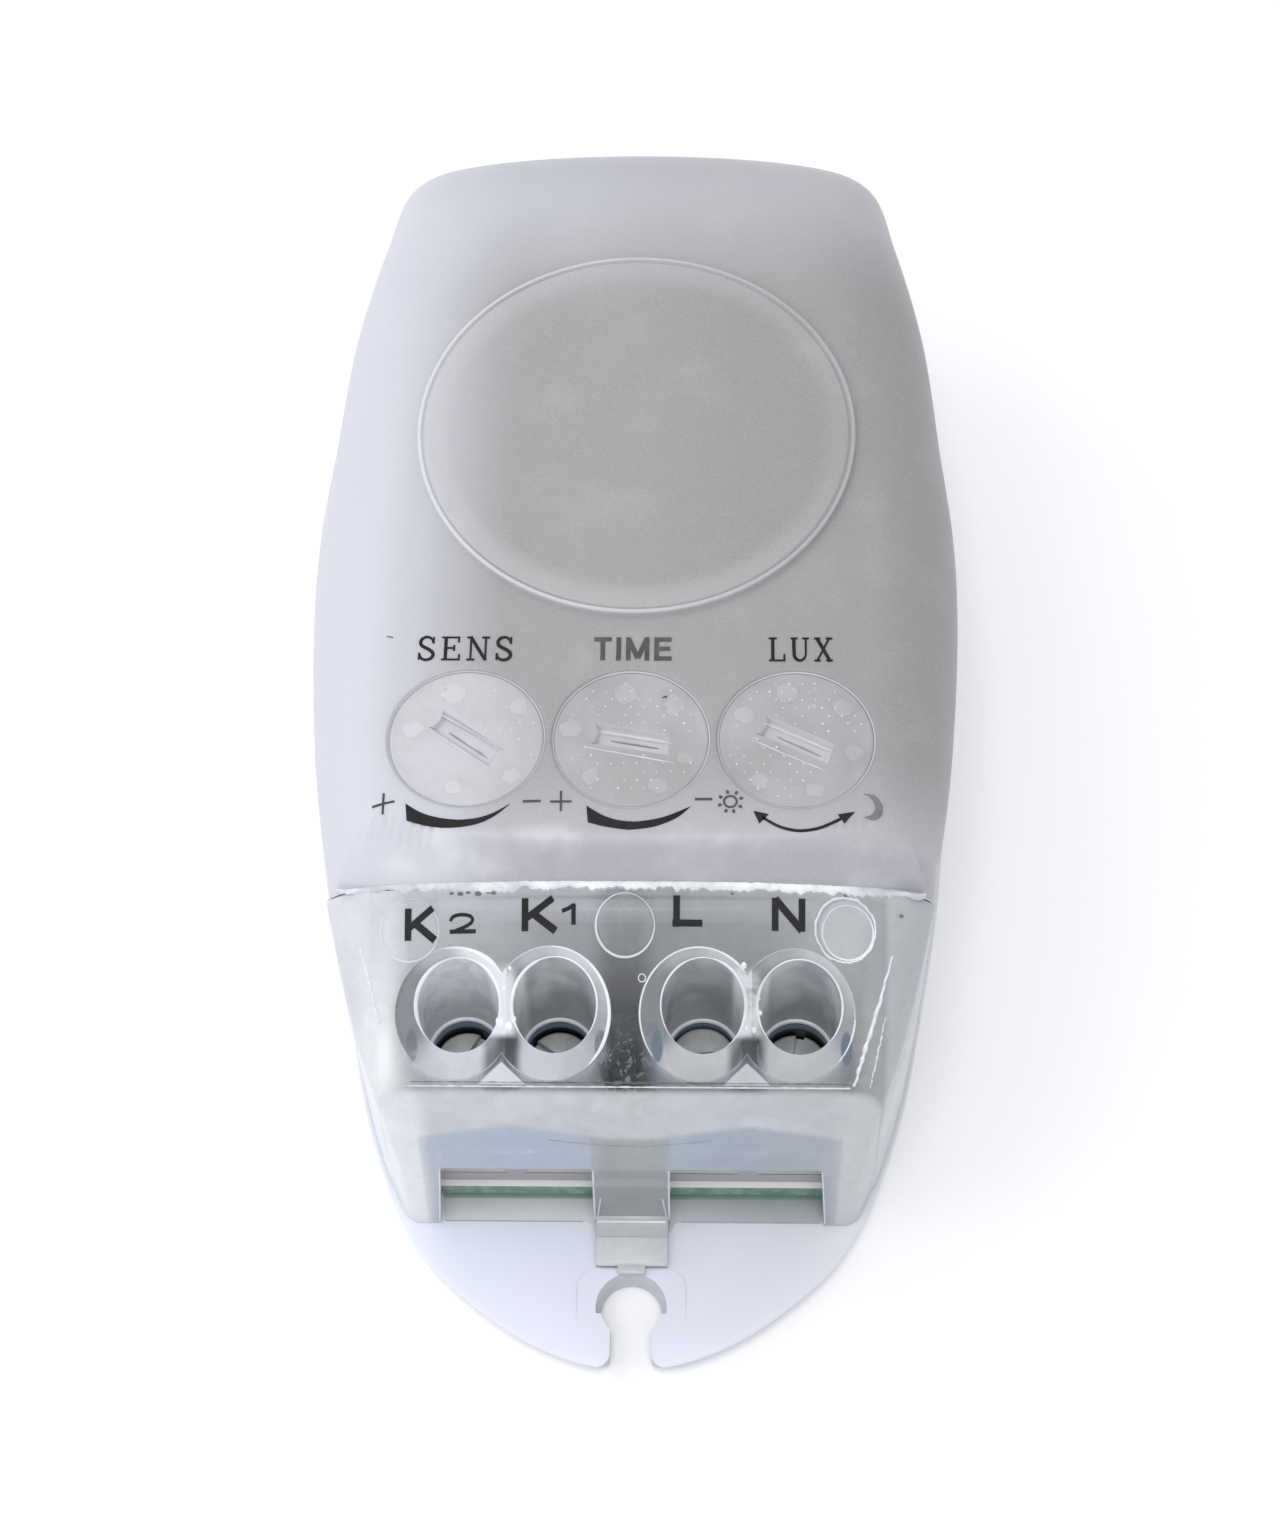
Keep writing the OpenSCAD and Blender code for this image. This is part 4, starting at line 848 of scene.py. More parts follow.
# ---------------------------------------------------------------- main cover
def main_cover():
    C = np.array([0.0, DISC_Y])
    nf = 360
    ang = [2*math.pi*(i + 0.5)/nf for i in range(nf)]
    Rt, Rw, Rf = (ray_hits(loop_of(half(p, 14)), C, ang) for p in (TOP, WALL, FOOT))
    disc = [(1.6, 32.80), (5, 32.80), (9, 32.80), (12.5, 32.80), (15, 32.80), (16.4, 32.795), (16.7, 32.80), (17.1, 32.825),
            (17.6, 32.85), (17.85, 32.85), (17.95, 32.79), (18.02, 32.76), (18.10, 32.80), (18.16, 32.88), (18.24, 32.93),
            (18.34, 32.945), (18.43, 32.92), (18.50, 32.84), (18.53, 32.6), (18.55, 32.46), (18.62, 32.41)]
    npl, nsh, nwl = 56, 16, 8
    verts = [(0.0, DISC_Y, 32.80)]
    cols = []
    start = 18.70
    for k, t in enumerate(ang):
        d = (math.cos(t), math.sin(t))
        col = []
        rows = []
        for r, z in disc:
            rows.append((r, z))
        rt = max(Rt[k], start)
        for j in range(npl):
            f = j/npl
            r = start + (rt - start)*f
            rows.append((r, TOP_Z))
        a0 = math.asin(min(1, max(0.0, (start - Rt[k])/(Rw[k] - Rt[k])))) if Rt[k] < start else 0.0
        for j in range(nsh + 1):
            a = a0 + (math.pi/2 - a0)*j/nsh
            rows.append((Rt[k] + (Rw[k] - Rt[k])*math.sin(a), TOP_Z - (TOP_Z - WALL_Z)*(1 - math.cos(a))))
        for j in range(1, nwl + 1):
            f = j/nwl
            rows.append((Rw[k] + (Rf[k] - Rw[k])*f, WALL_Z + (BASE_T + 0.02 - WALL_Z)*f))
        for r, z in rows:
            x, y = C[0] + r*d[0], C[1] + r*d[1]
            if y < -17:
                z = float(smin(z, float(bevel_z(x, y)), 0.45))
            col.append(len(verts))
            verts.append((x, y, z))
        cols.append(col)
    faces = []
    for k in range(nf):
        a, b = cols[k], cols[(k + 1) % nf]
        faces.append((0, a[0], b[0]))
        for j in range(len(a) - 1):
            faces.append((a[j], a[j + 1], b[j + 1], b[j]))
    ob = mesh_object("main_cover_shell", verts, faces, [M["frosted"]], merge=0.004)
    bm = bmesh.new()
    bm.from_mesh(ob.data)
    bmesh.ops.bisect_plane(bm, geom=bm.verts[:] + bm.edges[:] + bm.faces[:], plane_co=(0, (SEAM_Y)*MM, 0), plane_no=(0, -1, 0), clear_outer=True)
    bm.to_mesh(ob.data)
    bm.free()
    s = ob.modifiers.new("s", "SOLIDIFY")
    s.thickness = 1.5*MM
    s.offset = -1
    s.use_even_offset = False
    apply_all(ob)
    # holes for the knobs, with a small round at their rims
    cut = []
    for i, x in enumerate(KNOB_X):
        prof = [(0, 26), (6.22, 26), (6.22, 32.08), (6.235, 32.17), (6.27, 32.25), (6.32, 32.31), (6.39, 32.36), (6.46, 32.395), (6.50, 32.405), (6.51, 34), (0, 34)]
        cut.append(lathe("cut%d" % i, prof, (x, KNOB_Y), 96, [M["frosted"]], closed=False))
    boolean(ob, join("cut", cut))
    shade(ob, True, 28)
    parts = [ob]
    for i, x in enumerate(KNOB_X):
        prof = [(6.22, 28.4), (6.5, 28.4), (6.5, 30.95), (6.22, 30.95)]
        parts.append(lathe("well%d" % i, prof, (x, KNOB_Y), 96, [M["frosted"]]))
        prof = [(6.155, 31.2), (6.26, 31.2), (6.31, 32.27), (6.155, 32.20)]
        parts.append(lathe("ledge%d" % i, prof, (x, KNOB_Y), 96, [M["ledge"]]))
    ob = join("main_cover_shell", parts)
    shade(ob, True, 28)
    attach(ob, "housing")
    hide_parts("main_cover")
    # dividing wall behind the terminal space, dark grey as painted shade of the inside
    pts = [(-22.7, 7.2), (22.7, 7.2), (22.4, 24.6), (21.8, 25.0), (-21.8, 25.0), (-22.4, 24.6)]
    wall = prism("dividing_wall", pts, "y", -24.25, -22.95, 0.25, [M["dark"]])
    ribs = [wall]
    for x in (-14.0, -7.0, 0.0, 7.0, 14.0):
        ribs.append(box("rib", (x - 0.4, -24.75, 8.0), (x + 0.4, -24.2, 24.2), 0.12, [M["dark"]]))
    ob = join("dividing_wall", ribs)
    shade(ob, True, 40)
    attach(ob, "housing")


main_cover()


# ---------------------------------------------------------------- base plate
def base_plate():
    h = half(BASE, 10)
    pts = loop_of(h)
    pts[:, 1] = np.maximum(pts[:, 1], -54.0)
    n = len(pts)
    prv, nxt = np.roll(pts, 1, axis=0), np.roll(pts, -1, axis=0)
    tan = nxt - prv
    tan /= np.linalg.norm(tan, axis=1)[:, None]
    nor = np.stack([tan[:, 1], -tan[:, 0]], 1)      # outward, as the loop runs anticlockwise
    prof = [(1.05, 0.0), (0.84, 0.05), (0.66, 0.25), (0.46, 0.7), (0.27, 1.15), (0.09, 1.55), (0.0, 1.75), (0.04, 1.89), (0.16, 1.97), (0.32, 2.0)]
    verts, faces = [], []
    for d, z in prof:
        for p, q in zip(pts, nor):
            e = p - q*d
            verts.append((e[0], max(e[1], -54.0 + d), z))
    for k in range(len(prof) - 1):
        for i in range(n):
            j = (i + 1) % n
            faces.append((k*n + i, k*n + j, (k + 1)*n + j, (k + 1)*n + i))
    faces.append(tuple(range(n - 1, -1, -1)))
    faces.append(tuple((len(prof) - 1)*n + i for i in range(n)))
    ob = mesh_object("base_plate_body", verts, faces, [M["base"]])
    # keyhole: a round seat, and a neck that widens softly at the edge
    r, w, y0 = 2.5, 1.7, -49.0
    a0 = math.asin(w/r)
    key = []
    for i in range(41):
        t = -math.pi/2 + a0 + (2*math.pi - 2*a0)*i/40
        key.append((r*math.cos(t), y0 + r*math.sin(t)))
    for i in range(9):
        t = math.pi/2*i/8
        key.append((-w - 1.1*(1 - math.cos(t)), -52.9 - 1.1*math.sin(t)))
    key.append((-w - 1.1, -56))
    key.append((w + 1.1, -56))
    for i in range(8, -1, -1):
        t = math.pi/2*i/8
        key.append((w + 1.1*(1 - math.cos(t)), -52.9 - 1.1*math.sin(t)))
    boolean(ob, prism("k", key, "z", -1, 4, mats=[M["key_wall"]]))
    # its far rim is chamfered
    nn, ring = 33, []
    for rr, zz in ((2.42, 0.9), (2.98, 2.1)):
        for i in range(nn):
            t = math.radians(-10 + 200*i/(nn - 1))
            ring.append((rr*math.cos(t), y0 + rr*math.sin(t), zz))
    fc = [tuple(range(nn - 1, -1, -1)), tuple(range(nn, 2*nn))] + [(i, (i + 1) % nn, nn + (i + 1) % nn, nn + i) for i in range(nn)]
    boolean(ob, mesh_object("kc", ring, fc, [M["key_wall"]]))
    boolean(ob, box("p", (-1.5, -45.5, -1), (1.5, -43.3, 4)))
    shade(ob, True, 30)
    parts = [ob]
    # low edges of the plateau about the keyhole
    for sgn in (-1, 1):
        path = [(sgn*4.5, -50.4 + 3.2*i/12, 1.99) for i in range(13)]
        for i in range(1, 8):
            t = math.pi/2*i/7
            path.append((sgn*(3.1 + 1.4*math.cos(t)), -47.2 + 1.4*math.sin(t), 1.99))
        parts.append(tube("plateau", path, [0.012 + 0.030*min(1, i/8)*min(1, (len(path) - 1 - i)/4) for i in range(len(path))], n=6, mats=[M["base"]]))
    # low pads under the wire openings, thin grey sheets of painted shade with a darker line of painted shade along
    # their front, their front corners next to the tongue rounded
    for sgn in (-1, 1):
        pts = [(sgn*15.7, -41.62), (sgn*15.9, -38.0), (sgn*3.05, -38.0), (sgn*3.05, -42.6)]
        for i in range(7):
            t = math.pi/2*i/6
            pts.append((sgn*(3.35 + 0.75*(1 - math.cos(t))), -42.35 + 0.75*math.sin(t)))
        parts.append(prism("pad", pts, "z", 1.99, 2.07, 0.0, [M["pad"]]))
        parts.append(tube("pad_line", [(sgn*(4.1 + 11.5*i/19), -41.62, 2.05) for i in range(20)], 0.045, n=6, mats=[M["pad_line"]]))
    # posts for the power board
    for x, y in ((-19.2, -26.0), (19.2, -26.0), (-18, 34), (18, 34)):
        parts.append(lathe("post", [(1.15, 1.9), (2.6, 1.9), (2.6, 3.45), (2.45, 3.6), (1.15, 3.6)], (x, y), 32, [M["base"]]))
    ob = join("base_plate_body", parts)
    shade(ob, True, 30)
    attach(ob, "housing")
    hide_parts("base_plate")


base_plate()


# ---------------------------------------------------------------- terminal cover
KEYS = [  # y, bottom half-width, half-width and height of the side, half-width and height of the flat, crown
    (-24.6, 24.15, 24.0, 26.4, 19.5, 29.15, 1.0),
    (-27.5, 23.55, 23.35, 24.9, 19.1, 27.85, 0.75),
    (-31.0, 22.75, 22.5, 23.2, 18.7, 26.3, 0.5),
    (-34.5, 21.75, 21.5, 21.4, 18.2, 24.75, 0.25),
    (-37.8, 20.55, 20.25, 19.5, 17.6, 23.12, 0.04),
    (-38.25, 20.35, 20.05, 19.2, 17.5, 22.90, 0.0),
    (-38.48, 20.22, 19.92, 18.9, 17.42, 22.68, 0.0),
    (-38.62, 20.12, 19.82, 18.5, 17.32, 22.36, 0.0),
    (-38.76, 20.02, 19.72, 17.7, 17.2, 21.70, 0.0),
    (-39.0, 19.9, 19.58, 16.6, 17.1, 20.50, 0.0),
    (-39.9, 19.5, 19.05, 12.2, 17.1, 15.0, 0.0),
    (-40.7, 19.15, 18.6, 7.6, 17.3, 9.8, 0.0),
    (-41.3, 18.8, 18.1, 4.6, 17.3, 5.8, 0.0),
    (-41.7, 18.2, 17.6, 3.0, 17.2, 3.4, 0.0),
    (-41.8, 17.9, 17.4, 2.4, 17.1, 2.6, 0.0),
]


INNER = [  # the same, for the inside of the 1.3 mm wall
    (-24.6, 22.85, 22.70, 25.5, 18.70, 27.75, 0.9),
    (-27.5, 22.25, 22.05, 24.0, 18.30, 26.42, 0.65),
    (-31.0, 21.45, 21.20, 22.3, 17.90, 24.85, 0.45),
    (-34.5, 20.45, 20.20, 20.5, 17.40, 23.28, 0.2),
    (-36.8, 19.60, 19.30, 19.2, 17.00, 22.25, 0.04),
    (-37.1, 19.40, 19.00, 18.8, 16.85, 22.05, 0.0),
    (-37.25, 19.20, 18.80, 18.4, 16.75, 21.85, 0.0),
    (-37.38, 19.12, 18.72, 18.0, 16.68, 21.55, 0.0),
    (-37.5, 19.05, 18.65, 17.4, 16.62, 21.0, 0.0),
    (-37.7, 18.98, 18.58, 16.5, 16.58, 20.0, 0.0),
    (-38.6, 18.50, 18.00, 12.0, 16.50, 14.9, 0.0),
    (-39.4, 18.10, 17.50, 7.4, 16.50, 9.6, 0.0),
    (-39.95, 17.80, 17.10, 4.5, 16.40, 5.6, 0.0),
    (-40.3, 17.40, 16.80, 3.0, 16.30, 3.3, 0.0),
    (-40.4, 17.10, 16.60, 2.4, 16.20, 2.6, 0.0),
]


def lid_rows():
    """Rows of the outer and the inner surface, at even steps along the top line."""
    k, q = np.array(KEYS), np.array(INNER)
    z = k[:, 5] + k[:, 6]
    s = np.concatenate([[0], np.cumsum(np.hypot(np.diff(k[:, 0]), np.diff(z)))])
    fine = [0.0]
    for i in range(len(s) - 1):
        seg = s[i + 1] - s[i]
        m = max(3, int(round(seg/0.42)))
        fine += [s[i] + seg*j/m for j in range(1, m + 1)]
    fine = np.array(fine)
    return [np.stack([np.interp(fine, s, t[:, c]) for c in range(7)], 1) for t in (k, q)]


def deck_z(x, y):
    """Height of the terminal cover's sloping face."""
    k = np.array(KEYS)[:6]
    yy = -y
    zt = np.interp(yy, -k[:, 0], k[:, 5])
    xt = np.interp(yy, -k[:, 0], k[:, 4])
    c = np.interp(yy, -k[:, 0], k[:, 6])
    f = np.minimum(1, np.abs(x)/xt)
    return zt + c*(1 - f*f)


def lid_section(row):
    y, xb, xs, zs, xt, zt, c = row
    pts = []
    zb = 2.1
    nw = 12
    for j in range(nw):
        f = j/nw
        pts.append((xb + (xs - xb)*f, zb + (zs - zb)*f))
    for j in range(11):
        t = math.pi/2*j/10
        pts.append((xt + (xs - xt)*math.cos(t), zs + (zt - zs)*math.sin(t)))
    nt = 20
    for j in range(1, nt + 1):
        f = 1 - j/nt
        pts.append((xt*f, zt + c*(1 - f*f)))
    left = [(-x, z) for x, z in pts[-2::-1]]
    return [(x, y, z) for x, z in pts + left]


def terminal_cover():
    outer, inner = lid_rows()
    n = len(outer)
    so, si = [lid_section(r) for r in outer], [lid_section(r) for r in inner]
    m = len(so[0])
    verts = [v for t in so for v in t] + [v for t in si for v in t]
    o = lambda i, j: i*m + j
    q = lambda i, j: n*m + i*m + j
    faces = []
    for i in range(n - 1):
        for j in range(m - 1):
            faces.append((o(i, j), o(i + 1, j), o(i + 1, j + 1), o(i, j + 1)))
            faces.append((q(i, j), q(i, j + 1), q(i + 1, j + 1), q(i + 1, j)))
        faces.append((o(i, 0), q(i, 0), q(i + 1, 0), o(i + 1, 0)))
        faces.append((o(i, m - 1), o(i + 1, m - 1), q(i + 1, m - 1), q(i, m - 1)))
    for j in range(m - 1):
        faces.append((o(0, j), o(0, j + 1), q(0, j + 1), q(0, j)))
    e = n - 1
    faces.append(tuple(o(e, j) for j in range(m)))
    faces.append(tuple(q(e, j) for j in range(m - 1, -1, -1)))
    faces.append((o(e, m - 1), o(e, 0), q(e, 0), q(e, m - 1)))
    fm = []
    for f in faces:
        fm.append(1 if min(f) >= n*m else 0)
    ob = mesh_object("terminal_cover_shell", verts, faces, [M["hazy"], M["inner"]], fm)
    # the four tubes
    tubes = []
    for x in POLE_X:
        n, v, f = 64, [], []
        levels = 6
        for lv in range(levels + 1):
            for i in range(n):
                t = 2*math.pi*i/n
                px, py = x - 0.3 + 4.6*math.cos(t), POLE_Y - 0.15 + 4.6*math.sin(t)
                top = float(deck_z(px, py)) - 0.45
                v.append((px, py, 16.7 + (top - 16.7)*lv/levels))
        for lv in range(levels):
            for i in range(n):
                j = (i + 1) % n
                f.append((lv*n + i, lv*n + j, (lv + 1)*n + j, (lv + 1)*n + i))
        f.append(tuple(range(n - 1, -1, -1)))
        f.append(tuple(levels*n + i for i in range(n)))
        tubes.append(mesh_object("tube", v, f, [M["tube_side"]], angle=40))
    for t in tubes:
        boolean(ob, t, "UNION")
    for x in POLE_X:
        prof = [(0, 16.0), (2.95, 16.0), (2.95, 16.8), (3.02, 18.5), (3.34, 26.2), (3.55, 31), (0, 31)]
        boolean(ob, lathe("w", prof, (x, POLE_Y), 96, [M["bore"]], closed=False))
    # windows for the wires
    for s in (-1, 1):
        pts = [(s*3.08, 0.5), (s*16.05, 0.5), (s*15.95, 3.0), (s*15.5, 10.75), (s*15.25, 11.05), (s*3.3, 11.05), (s*3.08, 10.85)]
        boolean(ob, prism("win", pts, "y", -44, -38, mats=[M["window_edge"]]))
    shade(ob, True, 30)
    parts = [ob]
    # tongue's foot: a ramp coloured grey as painted shade, then a milky step with its tab
    prof = [(-40.7, 2.15), (-40.7, 3.6), (-41.72, 3.55), (-42.05, 3.45), (-42.25, 3.25), (-42.4, 3.1), (-43.25, 2.82), (-43.3, 2.15)]
    parts.append(prism("ramp", prof, "x", -3.02, 3.02, 0.1, [M["ramp"]]))
    prof = [(-43.2, 2.15), (-43.2, 2.88), (-43.45, 2.86), (-45.4, 2.74), (-45.6, 2.6), (-45.64, 2.15)]
    parts.append(prism("foot", prof, "x", -3.0, 3.0, 0.1, [M["foot"]]))
    parts.append(box("tab", (-1.15, -46.3, 2.17), (1.15, -45.5, 2.62), 0.12, [M["foot"]]))
    parts.append(box("catch", (-1.1, -44.5, 1.1), (1.1, -43.6, 2.3), 0.1, [M["hazy"]]))
    # lip that hooks under the main cover
    parts.append(box("web", (-15, -25.75, 26.1), (15, -24.75, 28.4), 0.15, [M["hazy"]]))
    parts.append(box("lip", (-15, -25.7, 26.05), (15, -22.65, 27.25), 0.25, [M["hazy"]]))
    rim, soft = [M["rim"]], [M["soft_rim"]]
    # painted highlights: bright beads on the rims of the wells and of the tubes' lower ends; each is thicker where the
    # rim catches the light
    INNER_RIM = (
        ((0, .17), (40, .19), (62, .12), (80, .07), (110, .08), (125, .15), (150, .20), (190, .18), (215, .06), (235, .015), (310, .015), (335, .07), (360, .17)),
        ((0, .09), (60, .09), (90, .05), (110, .06), (118, .13), (165, .16), (195, .12), (215, .05), (240, .015), (300, .015), (330, .05), (360, .09)),
        ((0, .19), (35, .17), (60, .12), (80, .05), (112, .06), (120, .10), (165, .08), (200, .06), (230, .015), (300, .015), (325, .08), (345, .18), (360, .19)),
        ((0, .10), (45, .09), (90, .07), (135, .07), (150, .12), (185, .15), (205, .07), (235, .015), (300, .015), (330, .06), (360, .10)),
    )
    OUTER_RIM = (
        ((20, .22), (35, .26), (55, .24), (75, .16), (95, .10), (110, .04), (180, .04), (215, .06), (240, .03), (340, .03)),
        ((-60, .03), (-45, .10), (-30, .18), (0, .17), (30, .15), (60, .12), (90, .08), (130, .06), (160, .04)),
        ((20, .18), (30, .22), (45, .15), (75, .10), (105, .09), (140, .10), (180, .09), (215, .08), (235, .04), (340, .03)),
        ((-60, .03), (-40, .09), (-15, .12), (5, .06), (60, .05), (130, .05), (160, .04)),
    )
    for k, x in enumerate(POLE_X):
        path, rad = [], []
        kk = np.array(INNER_RIM[k], float)
        for i in range(96):
            t = 2*math.pi*i/96
            r = 3.36
            for _ in range(4):
                zz = float(deck_z(x + r*math.cos(t), POLE_Y + r*math.sin(t)))
                r = 3.34 + (zz - 26.2)*0.21/4.8 if zz > 26.2 else 3.02 + (zz - 18.5)*0.32/7.7
            w = 0.012*noise.noise(Vector((math.cos(t)*2, math.sin(t)*2, k*3.0)))
            path.append((x + (r + w)*math.cos(t), POLE_Y + (r + w)*math.sin(t), float(deck_z(x + r*math.cos(t), POLE_Y + r*math.sin(t))) - 0.03))
            rad.append(0.95*float(np.interp(math.degrees(t), kk[:, 0], kk[:, 1])))
        parts.append(tube("rim", path, rad, True, 8, rim, squash=0.7))
        low = [(x + 2.96*math.cos(2*math.pi*i/64), POLE_Y + 2.96*math.sin(2*math.pi*i/64), 16.82) for i in range(64)]
        parts.append(tube("low", low, 0.24, True, 8, [M["bright"]]))
        # outer line of the tube where it meets the sloping face, up to the neighbour's: a bead of painted highlight
        kk = np.array(OUTER_RIM[k], float)
        ro = 4.62
        half_ = math.degrees(math.acos(3.75/ro))
        lo_, hi_ = (half_, 360 - half_) if k % 2 == 0 else (half_ - 180, 180 - half_)
        path, rad = [], []
        for i in range(80):
            d = lo_ + (hi_ - lo_)*i/79
            t = math.radians(d)
            px, py = x - 0.35 + ro*math.cos(t), POLE_Y - 0.5 + ro*math.sin(t)
            path.append((px, py, float(deck_z(px, py)) - 0.05))
            rad.append(max(0.015, 0.92*float(np.interp(d, kk[:, 0], kk[:, 1]))*min(1, 0.3 + i/6, 0.3 + (79 - i)/6)))
        parts.append(tube("outer", path, rad, False, 8, rim, squash=0.6))
        # a thin grey line along each tube's lower outline: painted shade
        arc_ = []
        for i in range(40):
            t = math.radians(222 + 96*i/39)
            px, py = x - 0.35 + ro*math.cos(t), POLE_Y - 0.62 + ro*math.sin(t)
            arc_.append((px, max(py, -37.9), float(deck_z(px, max(py, -37.9))) - 0.02))
        parts.append(tube("front_line", arc_, [0.015 + 0.02*math.sin(math.pi*i/39) for i in range(40)], False, 6, [M["front_line"]], squash=0.6))
    # ejector marks, their edges drawn as beads of painted highlight, thicker along their lower side
    for x, y, r, k, r0, r1, rag in ((-17.15, -27.45, 2.28, soft, 0.02, 0.09, 0.01), (-0.33, -27.23, 2.28, soft, 0.03, 0.11, 0.01),
                                    (16.84, -27.28, 2.34, rim, 0.10, 0.08, 0.07), (17.02, -27.45, 1.98, rim, 0.05, 0.09, 0.02)):
        pts, rad = [], []
        for i in range(72):
            t = 2*math.pi*i/72
            q = noise.noise(Vector((math.cos(t)*3.1, math.sin(t)*3.1, x)))
            q2 = noise.noise(Vector((math.cos(t)*9.1, math.sin(t)*9.1, x)))
            rr = r + rag*(1.2*q + 0.8*q2)
            px, py = x + rr*math.cos(t), y + rr*math.sin(t)*0.97
            pts.append((px, py, float(deck_z(px, py)) - 0.01))
            low_ = 0.5 - 0.5*math.sin(t + (0.5 if x < 0 else -0.3))
            rad.append(max(0.02, (r0 + (r1 - r0)*low_)*(1 + rag*6*q2)))
        parts.append(tube("mark", pts, rad, True, 6, k, squash=0.7))
    pts = [(1.01 + 0.28*math.cos(2*math.pi*i/20), -30.87 + 0.28*math.sin(2*math.pi*i/20)) for i in range(20)]
    parts.append(tube("bubble", [(a, b, float(deck_z(a, b))) for a, b in pts], 0.05, True, 6, [M["pale_edge"]]))

    def line(pts, rad, mat, n=6, wob=0.0, seed=0.0, squash=0.6):
        q, rr = [], []
        for i, pt in enumerate(pts):
            k = noise.noise(Vector((i*0.35, seed, 1.0)))
            q.append((pt[0], pt[1], pt[2] + wob*k*0.3))
            r0 = rad[i] if hasattr(rad, "__len__") else rad
            rr.append(max(0.02, r0*(1 + 0.9*wob*5*k)))
        parts.append(tube("line", q, rr, False, n, [M[mat]], squash=squash))

    def skin_z(px, py):
        row = [float(np.interp(-py, [-k[0] for k in KEYS], [k[c] for k in KEYS])) for c in range(1, 7)]
        xb, xs, zs, xt, zt, cr = row
        f = abs(px)
        if f <= xt:
            return float(deck_z(px, py))
        return zs + (zt - zs)*math.sqrt(max(0.0, 1 - ((f - xt)/(xs - xt))**2))

    # painted highlights: bright lines where the slope bends into each side
    for keys, rad, mat, wob, seed in ((((20.5, -28.9), (19.49, -32.26), (18.33, -35.7), (17.5, -38.2)), (0.08, 0.17, 0.17, 0.10), "soft_rim", 0.10, 2.0),
                                      (((19.95, -33.2), (19.3, -36.0), (18.75, -38.1)), (0.05, 0.09, 0.05), "pale_edge", 0.15, 3.0),
                                      (((-21.15, -28.33), (-20.3, -31.0), (-19.53, -33.84)), (0.07, 0.10, 0.16), "rim", 0.2, 4.0),
                                      (((-22.17, -27.98), (-21.2, -30.6), (-20.31, -33.16)), (0.04, 0.05, 0.04), "pale_edge", 0.15, 5.0),
                                      (((-17.4, -36.2), (-18.6, -37.1), (-19.3, -37.7)), (0.03, 0.02, 0.03), "rim", 0.0, 6.0)):
        kk = np.array(keys)
        q, rr = [], []
        for i in range(60):
            f = i/59*(len(kk) - 1)
            px, py = float(np.interp(f, range(len(kk)), kk[:, 0])), float(np.interp(f, range(len(kk)), kk[:, 1]))
            px += 0.10*noise.noise(Vector((i*0.23, seed, 0.0)))*(1 if wob else 0)
            q.append((px, py, skin_z(px, py) - 0.02))
            rr.append(float(np.interp(f, range(len(kk)), rad)))
        line(q, rr, mat, wob=wob, seed=seed)
    # the fold above the front wall: a thin, broken bright line of painted highlight, and a dark line of painted shadow
    # just above it
    q = [(-17.2 + 34.4*i/159, -38.33, 22.86) for i in range(160)]
    line(q, 0.07, "pale_edge", wob=0.16, seed=8.0)
    q = [(-17.0 + 34.0*i/159, -38.05, 23.02) for i in range(160)]
    line(q, [0.05 if abs(-17.0 + 34.0*i/159) < 7.5 else 0.028 for i in range(160)], "fold_dark", wob=0.14, seed=3.0)
    # painted highlights: bright edges of the windows and of the tongue, the seam's highlight down each side, and a
    # painted shadow line at the foot's front
    wy = [(-38.76, 21.70), (-39.0, 20.50), (-39.9, 15.0), (-40.7, 9.8), (-41.3, 5.8), (-41.7, 3.4), (-41.8, 2.6)]

    def wall_y(zz):
        return float(np.interp(zz, [b for a, b in wy][::-1], [a for a, b in wy][::-1]))

    for sgn in (-1, 1):
        line([(sgn*(15.5 + 0.55*(1 - i/19)), wall_y(2.5 + 8.4*i/19) - 0.02, 2.5 + 8.4*i/19) for i in range(20)], 0.075, "soft_rim", wob=0.06, seed=sgn + 1.0)
        xb, xs, zs, xt, zt, cr = [float(np.interp(-SEAM_Y, [-k[0] for k in KEYS], [k[c] for k in KEYS])) for c in range(1, 7)]
        arc = [math.radians(4 + 78*i/23) for i in range(24)]
        line([(sgn*(xt + (xs - xt)*math.sin(a)), SEAM_Y - 0.06, zs + (zt - zs)*math.cos(a)) for a in arc], [0.20 - 0.13*i/23 for i in range(24)], "seam", wob=0.06, seed=sgn + 8.0)
        line([(sgn*3.08, wall_y(3.0 + 7.9*i/19) - 0.02, 3.0 + 7.9*i/19) for i in range(20)], 0.085, "soft_rim", wob=0.06, seed=sgn + 4.0)
        line([(sgn*(2.55 + 0.35*(1 - i/11)), wall_y(3.0 + 3.4*i/11) - 0.04, 3.0 + 3.4*i/11) for i in range(12)], 0.07, "pale_edge", wob=0.06, seed=sgn + 6.0)
    line([(-2.8 + 5.6*i/29, -42.1, 3.42) for i in range(30)], 0.10, "rim", wob=0.06, seed=11.0)
    line([(-2.95 + 5.9*i/29, -45.62, 2.34) for i in range(30)], 0.05, "fold_dark", wob=0.06, seed=12.0)
    # low, rough ridge of plastic across the wall's middle
    line([(-6.5 + 13.0*i/40, wall_y(15.6 - 0.9*math.sin(math.pi*i/40)) - 0.01, 15.6 - 0.9*math.sin(math.pi*i/40)) for i in range(41)], 0.035, "slot_line", wob=0.15, seed=15.0)
